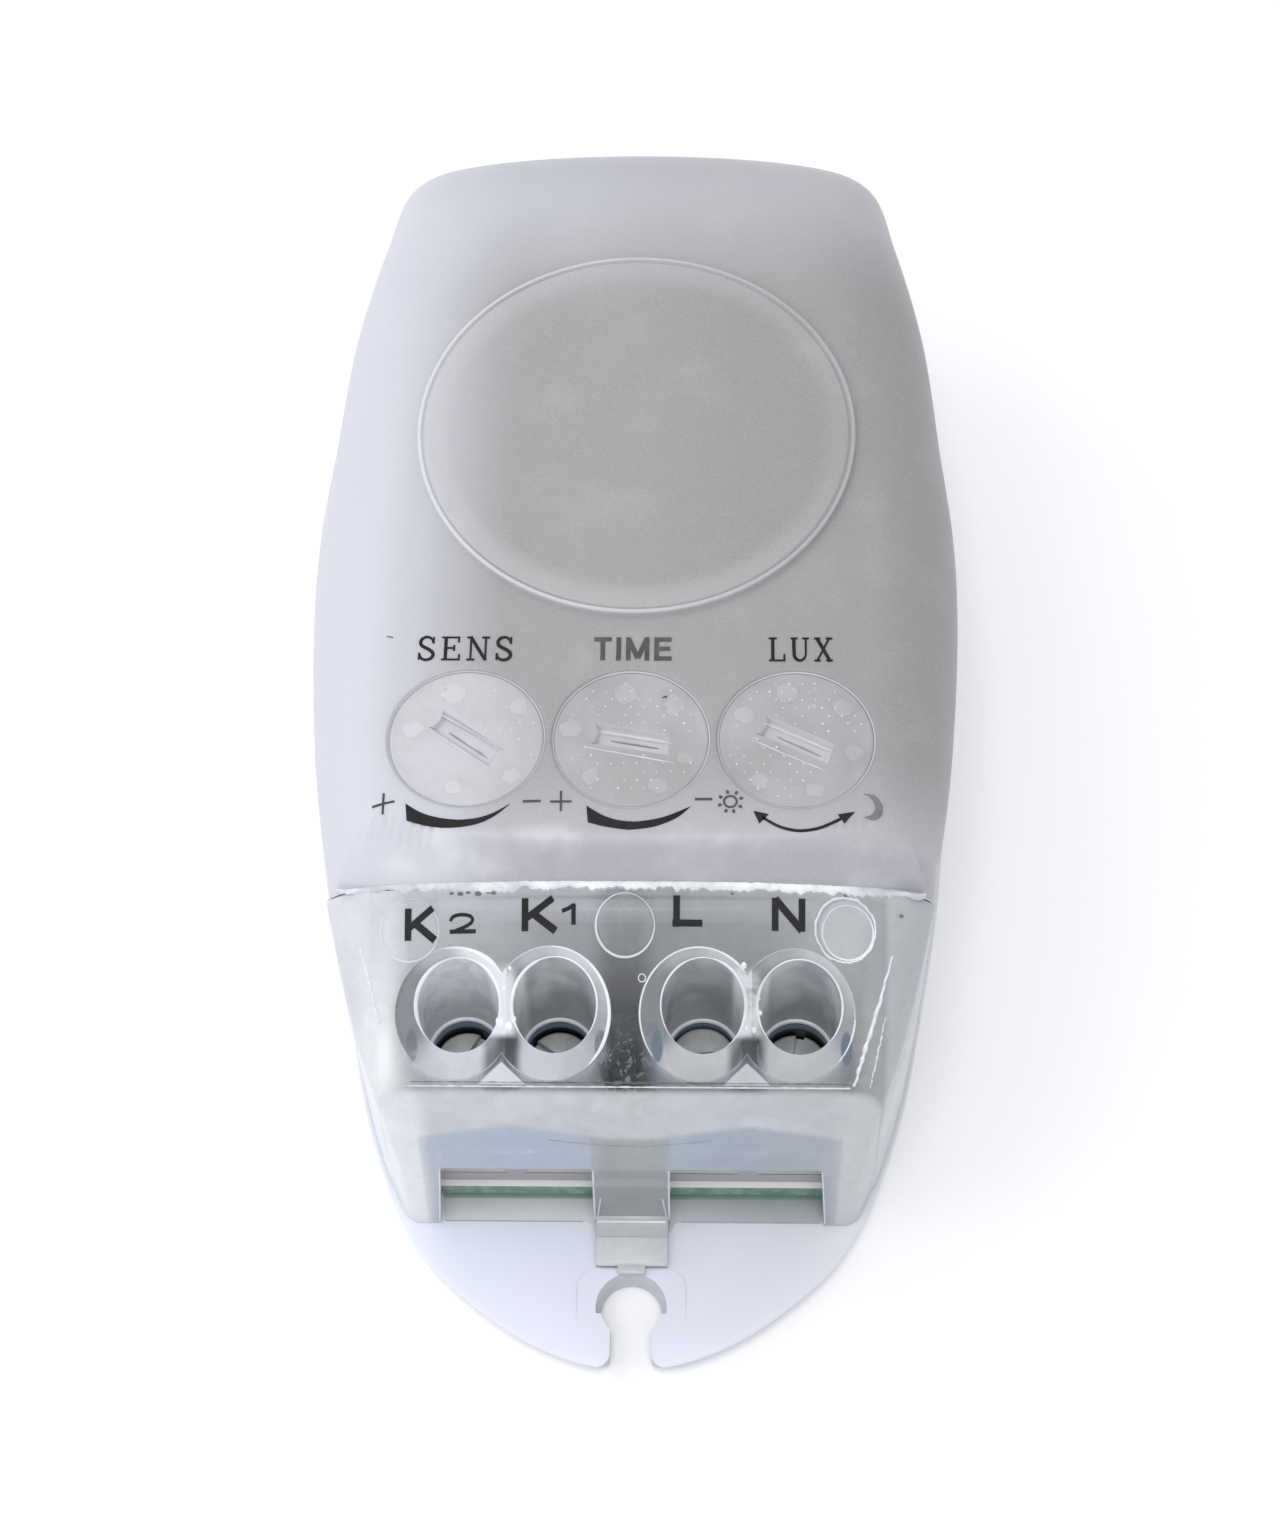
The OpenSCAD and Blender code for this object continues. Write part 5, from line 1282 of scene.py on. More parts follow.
    # small white spots in the webs between the tubes
    for k, (wx, wyy, wr) in enumerate(((-10.0, -33.95, 0.34), (-9.35, -34.15, 0.30), (-9.0, -33.75, 0.22), (-9.75, -31.6, 0.16), (9.15, -34.25, 0.20), (9.75, -34.35, 0.24), (10.2, -33.2, 0.16), (10.15, -32.2, 0.13), (8.9, -29.9, 0.22), (-9.3, -30.2, 0.16))):
        v = []
        nn = 10
        zc = float(deck_z(wx, wyy))
        pr = [(0, zc + 0.03), (wr*0.7, zc + 0.025), (wr, zc - 0.03), (0, zc - 0.05)]
        d = lathe("spot", pr, (wx, wyy), nn, [M["rim"]], closed=False)
        for vv in d.data.vertices:
            q = vv.co/MM
            kx = 1 + 0.45*noise.noise(Vector((q.x*2.1, q.y*2.1, k*1.7)))
            vv.co.x = (wx + (q.x - wx)*kx)*MM
            vv.co.y = (wyy + (q.y - wyy)*kx*1.15)*MM
            vv.co.z += (float(deck_z(q.x, q.y)) - zc)*MM
        parts.append(d)
    ob = join("terminal_cover_shell", parts)
    shade(ob, True, 30)
    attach(ob, "terminal_lid")
    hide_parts("terminal_cover")


terminal_cover()


# ---------------------------------------------------------------- knobs
def disc(name, x, y, z, r, h, mat, n=20, dome=False):
    prof = [(0, z + h), (r*0.6, z + h*(0.75 if dome else 1)), (r*0.93, z + h*(0.4 if dome else 0.8)), (r, z), (0, z - 0.02)]
    return lathe(name, prof, (x, y), n, [M[mat]], closed=False)


def knob(name, x, angle, body, far, near, blots, dots, seed):
    """Adjuster: a disc that sits almost flush in its hole, with a screwdriver slot across it.
    far and near are the ends of the slot's two bright edges, beads of painted highlight, in the part's frame."""
    face = TOP_Z - 0.18
    R = 6.14
    prof = [(0, face), (2.0, face), (4.2, face), (5.3, face), (5.80, face + 0.0), (5.92, face + 0.03), (6.04, face + 0.02), (6.11, face - 0.02), (R, face - 0.07), (R, face - 0.3),
            (R, 29.7), (5.9, 29.5), (2.3, 29.5), (2.2, 29.3), (2.2, 27.1), (2.05, 27.0), (0, 27.0)]
    ob = lathe(name, prof, (x, KNOB_Y), 128, [M["knob"]], closed=False)
    ang = math.radians(angle)
    ux, uy = math.cos(ang), math.sin(ang)
    key = box("key", (-1.3, -0.45, 25.1), (1.3, 0.45, 27.3), 0.08, [M["knob"]])
    key.data.transform(Matrix.Translation((x*MM, KNOB_Y*MM, 0)) @ Matrix.Rotation(ang, 4, "Z"))
    # slot with sloping sides and a narrow floor
    depth = 0.45
    sl = [(-0.66, -depth), (0.66, -depth), (0.78, -0.30), (0.98, 0.02), (0.98, 1), (-0.98, 1), (-0.98, 0.02), (-0.78, -0.30)]
    v = []
    n = len(sl)
    for u in (-1, 1):
        for w, zz in sl:
            uu = u*(2.55 + 0.62*min(1.0, max(0.0, 1 + zz/depth)))
            v.append((x + uu*ux - w*uy, KNOB_Y + uu*uy + w*ux, face + zz))
    f = [tuple(range(n)), tuple(range(2*n - 1, n - 1, -1))] + [(i, (i + 1) % n, n + (i + 1) % n, n + i) for i in range(n)]
    # slot sides get painted light, paler on the left knob
    boolean(ob, mesh_object("slot", v, f, [M["slot_l" if x < -5 else "slot"]], smooth=False))
    parts = [ob, key]

    def edge(a, b, r, mat, lift=0.0):
        m = 22
        pts, rad = [], []
        for i in range(m):
            t = i/(m - 1)
            k = noise.noise(Vector((a[0] + t*7, seed, 0.5)))
            pts.append((a[0] + (b[0] - a[0])*t, a[1] + (b[1] - a[1])*t + 0.03*k, face + lift))
            rad.append(r*(0.8 + 0.5*k)*min(1, 0.35 + 4*t, 0.35 + 4*(1 - t)))
        return tube("edge", pts, rad, False, 6, [M[mat]])

    # the slot's two bright edges are beads of painted highlight; the darker line along its floor is painted shade
    parts.append(edge(far[0], far[1], 0.075, "pale_edge"))
    parts.append(edge(near[0], near[1], 0.085, "pale_edge", 0.01))
    mx, my = x + 0.35*uy*0, KNOB_Y
    parts.append(edge((mx - 1.6*ux + 0.25*uy, my - 1.6*uy - 0.25*ux), (mx + 2.3*ux + 0.25*uy, my + 2.3*uy - 0.25*ux), 0.09, "slot_line", -depth + 0.04))
    for i, (bx, by, br) in enumerate(blots):
        d = disc("blot", bx, by, face, br, 0.014, "knob_mark", 30)
        for vv in d.data.vertices:
            q = vv.co/MM
            kx = 1 + 0.36*noise.noise(Vector(((q.x - bx)*1.1, (q.y - by)*1.1, seed + i))) + 0.26*noise.noise(Vector(((q.x - bx)*4.1, (q.y - by)*4.1, seed + i)))
            vv.co.x = (bx + (q.x - bx)*kx)*MM
            vv.co.y = (by + (q.y - by)*kx)*MM
        parts.append(d)
    # dots on a staggered grid, kept only in some parts of the face
    k = 0
    for i in range(-6, 7):
        for j in range(-7, 8):
            px = 1.04*(i + 0.5*(j % 2)) + 0.12*noise.noise(Vector((i*1.7, j*2.3, seed)))
            py = 0.74*j + 0.12*noise.noise(Vector((i*2.9, j*1.3, seed + 4)))
            r = math.hypot(px, py)
            d = abs(-px*uy + py*ux)
            if r > 5.6 or d < 1.2 or not dots(px, py):
                continue
            if noise.noise(Vector((i*0.9, j*0.8, seed + 9))) < -0.22:
                continue
            parts.append(disc("dot", x + px, KNOB_Y + py, face, 0.072 + 0.06*noise.noise(Vector((i*1.3, j*1.7, seed))), 0.03, "dot", 8, True))
    ob = join(name, parts)
    shade(ob, True, 30)
    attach(ob, body)
    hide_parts(name.replace("_piece", ""))


knob("sens_knob_piece", KNOB_X[0], -36, "sens_control", ((-15.45, -10.21), (-10.55, -13.23)), ((-16.3, -11.75), (-11.0, -15.3)),
     ((-14.4, -8.3, 0.95), (-17.3, -11.6, 0.75), (-9.0, -9.5, 0.8), (-9.4, -15.9, 0.7), (-13.9, -16.9, 0.6)), lambda px, py: px > -1.2 and py > -1.5, 1.3)
knob("time_knob_piece", KNOB_X[1], -10, "time_control", ((-2.73, -11.81), (3.23, -12.89)), ((-3.95, -13.21), (3.48, -14.71)),
     ((-4.82, -11.52, 0.8), (-3.1, -15.9, 0.7), (2.1, -16.7, 0.7), (-0.4, -8.3, 0.9), (3.4, -9.3, 0.95), (4.3, -14.2, 0.6)), lambda px, py: True, 2.7)
knob("lux_knob_piece", KNOB_X[2], -27, "lux_control", ((10.61, -11.01), (15.87, -13.56)), ((9.55, -12.55), (15.3, -15.33)),
     ((9.0, -10.2, 0.75), (12.4, -8.1, 0.85), (16.9, -9.6, 0.8), (17.7, -13.6, 0.7), (10.3, -16.2, 0.7), (14.5, -17.0, 0.65)), lambda px, py: px < 1.5 or py > 0, 5.1)


# ---------------------------------------------------------------- carried-over nodes get finished materials
LOOKS = {
    "board": ("power_board", "control_board"), "block": ("terminal_block_k", "terminal_block_ln"),
    "plated": ("wire_clamps_k", "wire_clamps_ln", "k2_pressure_plate", "k1_pressure_plate", "l_pressure_plate", "n_pressure_plate"),
    "steel": ("board_screws",), "tin": ("aerial_ring", "radar_can"), "white_part": ("board_spacers", "sens_rotor", "time_rotor", "lux_rotor"),
    "trimmer": ("sens_trimmer", "time_trimmer", "lux_trimmer"), "black": ("timer_chip", "pin_header", "bridge_rectifier", "voltage_regulator", "choke_coil"),
    "resin": ("light_sensor",), "relay": ("relay",), "film": ("film_capacitor",), "sleeve": ("storage_capacitor", "output_capacitor"),
    "varistor": ("varistor",), "fuse": ("fuse_resistor",),
}
for look, names in LOOKS.items():
    for n in names:
        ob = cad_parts[n]
        if not ob.material_slots:
            ob.data.materials.append(M[look])
        for s in ob.material_slots:
            s.material = M[look]


# ---------------------------------------------------------------- terminal screws
def screw(name, x, z, angle, body):
    r = 2.6
    prof = [(0, z), (1.2, z), (2.2, z - 0.02), (2.42, z - 0.07), (2.56, z - 0.2), (r, z - 0.4), (r, z - 1.7), (2.2, z - 1.8), (1.5, z - 1.8), (1.5, z - 6.1), (1.3, z - 6.2), (0, z - 6.2)]
    ob = lathe(name, prof, (0, 0), 64, [M["steel"]], closed=False)
    boolean(ob, box("s", (-2.6, -0.36, z - 0.9), (2.6, 0.36, z + 1)))
    ob.data.transform(Matrix.Translation((x*MM, POLE_Y*MM, 0)) @ Matrix.Rotation(math.radians(angle), 4, "Z"))
    shade(ob, True, 30)
    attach(ob, body)
    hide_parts(name.replace("_piece", ""))


for nm, x, z, a in (("k2", POLE_X[0], 15.0, 60), ("k1", POLE_X[1], 15.2, -35), ("l", POLE_X[2], 16.2, 5), ("n", POLE_X[3], 14.9, 80)):
    screw(nm + "_screw_piece", x, z, a, nm + "_clamp_screw")


# ---------------------------------------------------------------- prints
def strokes(name, lines, surf, lift=0.012, thick=0.03, mat="ink"):
    """Flat prints: each line is ([(x, y, half-width), ...]); surf gives the height under a point."""
    verts, faces = [], []
    lift -= 0.0016
    for path in lines:
        lift += 0.0016
        p = [np.array(q[:2], float) for q in path]
        w = [q[2] for q in path]
        base = len(verts)
        m = len(p)
        for i in range(m):
            a = p[max(i - 1, 0)]
            b = p[min(i + 1, m - 1)]
            t = b - a
            t = t/(np.linalg.norm(t) + 1e-12)
            nrm = np.array([-t[1], t[0]])
            for s in (1, -1):
                q = p[i] + s*w[i]*nrm
                z = float(surf(q[0], q[1]))
                verts.append((q[0], q[1], z - 0.03))
                verts.append((q[0], q[1], z + lift + thick))
        for i in range(m - 1):
            a, b = base + 4*i, base + 4*(i + 1)
            faces += [(a + 1, a + 3, b + 3, b + 1), (a, b, b + 2, a + 2), (a, a + 1, b + 1, b), (a + 2, b + 2, b + 3, a + 3)]
        e = base + 4*(m - 1)
        faces += [(base, base + 2, base + 3, base + 1), (e, e + 1, e + 3, e + 2)]
    return mesh_object(name, verts, faces, [M[mat]], smooth=False)


def arc(cx, cy, rx, ry, a0, a1, n, w):
    return [(cx + rx*math.cos(math.radians(a0 + (a1 - a0)*i/n)), cy + ry*math.sin(math.radians(a0 + (a1 - a0)*i/n)),
             w if not callable(w) else w(i/n)) for i in range(n + 1)]


def serif_glyph(ch, h):
    """Strokes of a slab-serif letter in a box that is h high, from x = 0. Returns (width, strokes)."""
    t, s = 0.062*h, 0.036*h
    if ch == "S":
        w = 0.60*h
        top = [(w*0.86, h*0.74), (w*0.80, h*0.88), (w*0.62, h*0.965), (w*0.42, h*0.97), (w*0.22, h*0.90), (w*0.13, h*0.76), (w*0.20, h*0.62),
               (w*0.42, h*0.53), (w*0.66, h*0.44), (w*0.85, h*0.33), (w*0.88, h*0.20), (w*0.74, h*0.07), (w*0.50, h*0.02), (w*0.28, h*0.05), (w*0.14, h*0.15), (w*0.10, h*0.28)]
        c = smooth(top, 3)
        n = len(c)
        return w, [[(x, y, (s + (t - s)*math.sin(math.pi*i/(n - 1)))*1.05) for i, (x, y) in enumerate(c)],
                   [(w*0.90, h*0.70, s*0.8), (w*0.90, h*0.99, s*0.8)], [(w*0.07, h*0.02, s*0.8), (w*0.07, h*0.31, s*0.8)]]
    if ch == "E":
        w = 0.66*h
        return w, [[(w*0.22, 0, t), (w*0.22, h, t)], [(0, h - s, s), (w*0.92, h - s, s)], [(0, s, s), (w*0.96, s, s)], [(w*0.2, h*0.52, s), (w*0.66, h*0.52, s)],
                   [(w*0.90, h, s), (w*0.90, h*0.76, s)], [(w*0.94, 0, s), (w*0.94, h*0.26, s)], [(w*0.66, h*0.40, s), (w*0.66, h*0.64, s)]]
    if ch == "N":
        w = 0.78*h
        return w, [[(w*0.18, 0, s), (w*0.18, h, s)], [(w*0.84, 0, s), (w*0.84, h, s)], [(w*0.15, h, t), (w*0.85, 0.02*h, t)],
                   [(0, h - s, s), (w*0.26, h - s, s)], [(0, s, s), (w*0.36, s, s)], [(w*0.66, h - s, s), (w*1.02, h - s, s)]]
    if ch == "L":
        w = 0.66*h
        return w, [[(w*0.24, 0, t), (w*0.24, h, t)], [(0, h - s, s), (w*0.5, h - s, s)], [(0, s, s), (w*0.96, s, s)], [(w*0.94, 0, s), (w*0.94, h*0.30, s)]]
    if ch == "U":
        w = 0.76*h
        c = smooth([(w*0.20, h), (w*0.20, h*0.42), (w*0.25, h*0.16), (w*0.50, h*0.03), (w*0.76, h*0.16), (w*0.82, h*0.42), (w*0.82, h)], 4)
        n = len(c)
        return w, [[(x, y, t + (s - t)*min(1, max(0, (i/(n - 1) - 0.35)*3))) for i, (x, y) in enumerate(c)],
                   [(0.02*w, h - s, s), (w*0.40, h - s, s)], [(w*0.64, h - s, s), (w, h - s, s)]]
    if ch == "X":
        w = 0.74*h
        return w, [[(w*0.14, h, t), (w*0.86, 0, t)], [(w*0.84, h, s), (w*0.14, 0, s)], [(0, h - s, s), (w*0.34, h - s, s)], [(w*0.64, h - s, s), (w, h - s, s)],
                   [(0, s, s), (w*0.34, s, s)], [(w*0.64, s, s), (w, s, s)]]
    return 0.3*h, []


def sans_glyph(ch, h, t):
    if ch == "T":
        w = 0.62*h
        return w, [[(0, h - t, t), (w, h - t, t)], [(w/2, 0, t), (w/2, h, t)]]
    if ch == "I":
        return 2*t, [[(t, 0, t), (t, h, t)]]
    if ch == "M":
        w = 0.84*h
        return w, [[(t, 0, t), (t, h, t)], [(w - t, 0, t), (w - t, h, t)], [(t, h*0.96, t*1.05), (w/2, h*0.1, t*1.05)], [(w - t, h*0.96, t*1.05), (w/2, h*0.1, t*1.05)]]
    if ch == "E":
        w = 0.62*h
        return w, [[(t, 0, t), (t, h, t)], [(0, h - t, t), (w, h - t, t)], [(0, h*0.51, t*0.95), (w*0.92, h*0.51, t*0.95)], [(0, t, t), (w, t, t)]]
    if ch == "K":
        w = 0.86*h
        return w, [[(t, 0, t), (t, h, t)], [(t, h*0.36, t*0.9), (w*0.92, h, t*0.9)], [(w*0.34, h*0.55, t*1.05), (w, 0, t*1.05)]]
    if ch == "L":
        w = 0.90*h
        return w, [[(t, 0, t), (t, h, t)], [(0, t, t*0.9), (w, t, t*0.9)]]
    if ch == "N":
        w = 0.96*h
        return w, [[(t, 0, t), (t, h, t)], [(w - t, 0, t), (w - t, h, t)], [(t, h*0.97, t*1.05), (w - t, h*0.03, t*1.05)]]
    if ch == "1":
        w = 0.62*h
        return w, [[(w*0.8, 0, t), (w*0.8, h, t)], [(w*0.85, h*0.96, t*0.8), (w*0.45, h*0.78, t*0.8), (0, h*0.66, t*0.8)]]
    if ch == "2":
        w = 1.0*h
        c = smooth([(w*0.04, h*0.66), (w*0.14, h*0.88), (w*0.42, h*0.99), (w*0.76, h*0.92), (w*0.88, h*0.70), (w*0.74, h*0.46), (w*0.44, h*0.26), (w*0.08, h*0.07)], 4)
        return w, [[(x, y, t*0.85) for x, y in c], [(w*0.02, t, t), (w, t, t)]]
    return 0.3*h, []


def smooth(pts, n):
    p = [np.array(q, float) for q in pts]
    out = []
    for i in range(len(p) - 1):
        a, b, c, d = p[max(i - 1, 0)], p[i], p[i + 1], p[min(i + 2, len(p) - 1)]
        for j in range(n):
            t = j/n
            q = 0.5*(2*b + (c - a)*t + (2*a - 5*b + 4*c - d)*t*t + (3*b - a - 3*c + d)*t**3)
            out.append((float(q[0]), float(q[1])))
    out.append((float(p[-1][0]), float(p[-1][1])))
    return out


def word(name, text, x0, x1, y0, y1, glyph, surf, mat="ink", tilt=0.0, gap=0.16, **kw):
    """Lays a word out so that it fills the box."""
    h = y1 - y0
    items, x = [], 0.0
    for ch in text:
        w, st = glyph(ch, h, **kw)
        items.append((x, st))
        x += w + gap*h
    total = x - gap*h
    k = (x1 - x0)/total
    lines = []
    for ox, st in items:
        for path in st:
            # a stroke's ends are cut into short steps, so that it follows the surface
            q = []
            for i in range(len(path) - 1):
                a, b = path[i], path[i + 1]
                m = max(1, int(math.hypot(b[0] - a[0], b[1] - a[1])/0.5))
                for j in range(m):
                    f = j/m
                    q.append(tuple(a[c] + (b[c] - a[c])*f for c in range(3)))
            q.append(path[-1])
            lines.append([(x0 + (px + ox)*k, y0 + py + tilt*(px + ox)*k, pw) for px, py, pw in q])
    return strokes(name, lines, surf, mat=mat)


def top_surf(x, y):
    z = TOP_Z
    if y < -17:
        z = float(smin(TOP_Z, float(bevel_z(x, y)), 0.45))
    return z


def shoulder_surf(x, y):
    """The flat top and the start of its shoulder at the sides."""
    edge = float(np.interp(y, [-30, -22, -12, 2], [18.3, 18.8, 19.3, 19.8]))
    wall = float(np.interp(y, [-30, -22, -12, 2], [22.8, 24.3, 25.9, 27.0]))
    z = top_surf(x, y)
    if abs(x) > edge:
        s = min(1.0, (abs(x) - edge)/(wall - edge))
        z = min(z, TOP_Z - (TOP_Z - WALL_Z)*(1 - math.sqrt(1 - s*s)))
    return z


prints = [
    word("print_sens", "SENS", -17.36, -9.70, -5.36, -3.10, serif_glyph, top_surf, tilt=0.0, gap=0.22),
    word("print_time", "TIME", -3.12, 3.14, -5.30, -3.12, sans_glyph, top_surf, mat="ink_soft", gap=0.17, t=0.19),
    word("print_lux", "LUX", 10.98, 16.12, -5.34, -3.08, serif_glyph, top_surf, gap=0.20),
]


def patch(name, top, bottom, surf, mat="ink", lift=0.042, n=5):
    """A filled print between two curves that run the same way."""
    t, b = smooth(top, n), smooth(bottom, n)
    m = 48

    def along(c, f):
        c = np.array(c)
        d = np.concatenate([[0], np.cumsum(np.hypot(*np.diff(c, axis=0).T))])
        return np.array([np.interp(f*d[-1], d, c[:, 0]), np.interp(f*d[-1], d, c[:, 1])])

    verts, faces = [], []
    for i in range(m + 1):
        p0, p1 = along(t, i/m), along(b, i/m)
        for j in range(4):
            q = p0 + (p1 - p0)*j/3
            z = float(surf(q[0], q[1]))
            verts.append((q[0], q[1], z + lift))
            verts.append((q[0], q[1], z - 0.03))
    for i in range(m):
        for j in range(3):
            a0, b0 = (i*4 + j)*2, ((i + 1)*4 + j)*2
            faces.append((a0, a0 + 2, b0 + 2, b0))
            faces.append((a0 + 1, b0 + 1, b0 + 3, a0 + 3))
        a0, b0 = i*8, (i + 1)*8
        faces.append((a0, b0, b0 + 1, a0 + 1))
        faces.append((a0 + 6, a0 + 7, b0 + 7, b0 + 6))
    faces.append((0, 1, 3, 2))
    faces.append((2, 3, 5, 4))
    faces.append((4, 5, 7, 6))
    e = m*8
    faces.append((e, e + 2, e + 3, e + 1))
    faces.append((e + 2, e + 4, e + 5, e + 3))
    faces.append((e + 4, e + 6, e + 7, e + 5))
    return mesh_object(name, verts, faces, [M[mat]], smooth=False, merge=0.0005)


marks = []
marks.append(patch("wedge_sens", [(-17.6, -18.56), (-16.45, -19.3), (-15.29, -19.72), (-13.86, -19.95), (-12.73, -19.93), (-11.59, -19.71), (-10.48, -19.23), (-9.44, -18.54)],
                   [(-17.43, -20.06), (-16.69, -20.29), (-15.68, -20.53), (-14.4, -20.67), (-12.98, -20.58), (-11.86, -20.31), (-11.02, -19.91), (-10.2, -19.31), (-9.42, -18.55)], top_surf))
marks.append(patch("wedge_time", [(-3.42, -18.67), (-2.23, -19.45), (-1.23, -19.86), (-0.38, -20.02), (0.63, -20.05), (2.07, -19.8), (3.2, -19.42), (4.72, -18.70)],
                   [(-3.28, -20.14), (-1.93, -20.51), (-0.5, -20.74), (0.09, -20.77), (1.51, -20.59), (2.63, -20.23), (3.77, -19.62), (4.74, -18.71)], top_surf))
marks.append(patch("arrow_left", [(9.65, -19.07), (10.2, -19.2), (10.82, -19.36)], [(9.64, -19.08), (9.85, -19.6), (10.08, -20.19)], top_surf))
marks.append(patch("arrow_right", [(17.54, -19.11), (16.9, -19.22), (16.2, -19.36)], [(17.55, -19.12), (17.15, -19.6), (16.71, -20.13)], shoulder_surf))
shaft = smooth([(10.35, -19.64), (11.13, -20.17), (11.97, -20.57), (13.1, -20.79), (14.23, -20.68), (15.23, -20.36), (16.44, -19.73)], 5)
marks.append(strokes("arrow_shaft", [[(x, y, 0.115) for x, y in shaft]], top_surf))


def dash(x0, y0, x1, y1, w=0.09):
    return [(x0 + (x1 - x0)*i/3, y0 + (y1 - y0)*i/3, w) for i in range(4)]


marks.append(strokes("plus_left", [dash(-20.22, -18.79, -18.47, -18.36), dash(-19.36, -17.65, -19.34, -19.5)], shoulder_surf, mat="ink_soft"))
marks.append(strokes("other_signs", [dash(-8.42, -18.31, -7.01, -18.26, 0.105), dash(-6.27, -18.32, -4.58, -18.29), dash(-5.44, -17.36, -5.41, -19.15), dash(5.06, -18.04, 6.43, -18.03, 0.105)],
                     shoulder_surf, mat="ink_soft"))
sun = [arc(7.84, -18.24, 0.50, 0.50, 0, 360, 24, 0.085)]
for x, y in ((7.62, -17.39), (8.31, -17.45), (8.69, -17.94), (8.62, -18.68), (8.09, -19.11), (7.49, -19.08), (7.01, -18.55), (7.07, -17.83)):
    dx, dy = x - 7.84, y + 18.24
    sun.append([(x - dx*0.17, y - dy*0.17, 0.09), (x, y, 0.13), (x + dx*0.16, y + dy*0.16, 0.08)])
marks.append(strokes("sun_mark", sun, shoulder_surf, mat="ink_soft"))
marks.append(patch("moon_mark", [(18.29, -17.48), (19.11, -17.65), (19.66, -18.37), (19.74, -18.94), (19.48, -19.59), (18.91, -19.83), (18.28, -19.6)],
                   [(18.30, -17.50), (18.75, -17.81), (19.02, -18.21), (19.15, -18.86), (18.85, -19.34), (18.27, -19.61)], shoulder_surf, mat="ink_pale"))
marks.append(strokes("small_dash", [[(-19.95, -3.1, 0.035), (-19.45, -3.2, 0.05)], [(2.45, -8.78, 0.05), (2.82, -8.66, 0.06)]], shoulder_surf, mat="ink_soft"))
ob = join("cover_prints", prints + marks)
shade(ob, False)
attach(ob, "housing")

deck = [
    word("k2a", "K", -17.62, -15.18, -28.18, -25.92, sans_glyph, deck_z, gap=0.1, t=0.26),
    word("k2b", "2", -14.05, -11.98, -27.75, -26.42, sans_glyph, deck_z, gap=0.1, t=0.14),
    word("k1a", "K", -8.50, -5.74, -27.64, -25.38, sans_glyph, deck_z, gap=0.1, t=0.26),
    word("k1b", "1", -5.25, -4.12, -27.22, -25.78, sans_glyph, deck_z, gap=0.1, t=0.17),
    word("la", "L", 3.36, 5.68, -27.32, -25.18, sans_glyph, deck_z, gap=0.1, t=0.26),
    word("na", "N", 11.02, 13.76, -27.48, -25.20, sans_glyph, deck_z, gap=0.1, t=0.26),
]
ob = join("terminal_prints", deck)
shade(ob, False)
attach(ob, "terminal_lid")


# ---------------------------------------------------------------- seam
def seam():
    """The rough bright edge where the two covers meet: a ragged, pale band of painted highlight with blotches, and a
    few dark specks.
    """
    n, m = 260, 7
    verts, faces = [], []
    for i in range(n):
        x = -23.1 + 46.2*i/(n - 1)
        k = noise.noise(Vector((x*0.55, 3.1, 0)))
        k2 = noise.noise(Vector((x*2.3, 7.7, 0)))
        k3 = noise.noise(Vector((x*6.1, 1.7, 0)))
        w = (0.58 + 0.22*k + 0.24*k2 + 0.14*k3)*(1.0 if x > -16.5 else 0.9)
        if 3 < x < 5 or -14.5 < x < -7.5 or 15.5 < x < 20:
            w += 0.10 + 0.12*k2
        w = min(1.00, max(0.30, w))
        y1 = SEAM_Y + 0.16 + 0.03*k3
        for j in range(m):
            f = j/(m - 1)
            y = y1 - w*f
            h = math.sin(math.pi*min(1, max(0, f*1.02)))**0.7
            rough = 0.05*noise.noise(Vector((x*7.0, y*7.0, 0.3))) + 0.03*noise.noise(Vector((x*15.0, y*15.0, 2.3)))
            zb = float(bevel_z(x, SEAM_Y)) if y > SEAM_Y - 0.25 else float(deck_z(x, y))
            zd = float(deck_z(x, min(y, SEAM_Y - 0.3)))
            z0 = max(zb, zd) - 0.04 if f < 0.5 else zd - 0.02
            z0 = zd + (float(bevel_z(x, y)) - zd)*max(0.0, 1 - f*1.6) - 0.04
            verts.append((x, y, z0 + (0.20 + rough)*h))
    for i in range(n - 1):
        for j in range(m - 1):
            a = i*m + j
            faces.append((a, a + m, a + m + 1, a + 1))
    top = len(verts)
    verts += [(x, y, z - 0.22) for x, y, z in verts]
    for i in range(n - 1):
        for j in range(m - 1):
            a = top + i*m + j
            faces.append((a, a + 1, a + m + 1, a + m))
        a, b = i*m, i*m + m - 1
        faces.append((a, top + a, top + a + m, a + m))
        faces.append((b, b + m, top + b + m, top + b))
    for e in (0, (n - 1)*m):
        for j in range(m - 1):
            q = (e + j, e + j + 1, top + e + j + 1, top + e + j)
            faces.append(q if e == 0 else q[::-1])
    parts = [mesh_object("band", verts, faces, [M["seam"]])]
    specks = []
    for k, (x, y, w) in enumerate(((-13.9, -24.95, .10), (-13.2, -25.0, .14), (-12.6, -24.92, .10), (-11.8, -25.02, .16), (-11.0, -24.96, .09), (-10.6, -25.0, .12), (-1.3, -24.12, .10), (-0.7, -24.10, .13), (8.0, -25.0, .07), (16.8, -24.9, .10), (21.2, -26.2, .10))):
        z = float(deck_z(x, y))
        specks.append([(x - w*1.6, y, w*0.5), (x, y + 0.03, w), (x + w*1.5, y - 0.02, w*0.5)])
    parts.append(strokes("specks", specks, deck_z, mat="fold_dark"))
    ob = join("seam_edge", parts)
    shade(ob, True, 60)
    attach(ob, "terminal_lid")


seam()

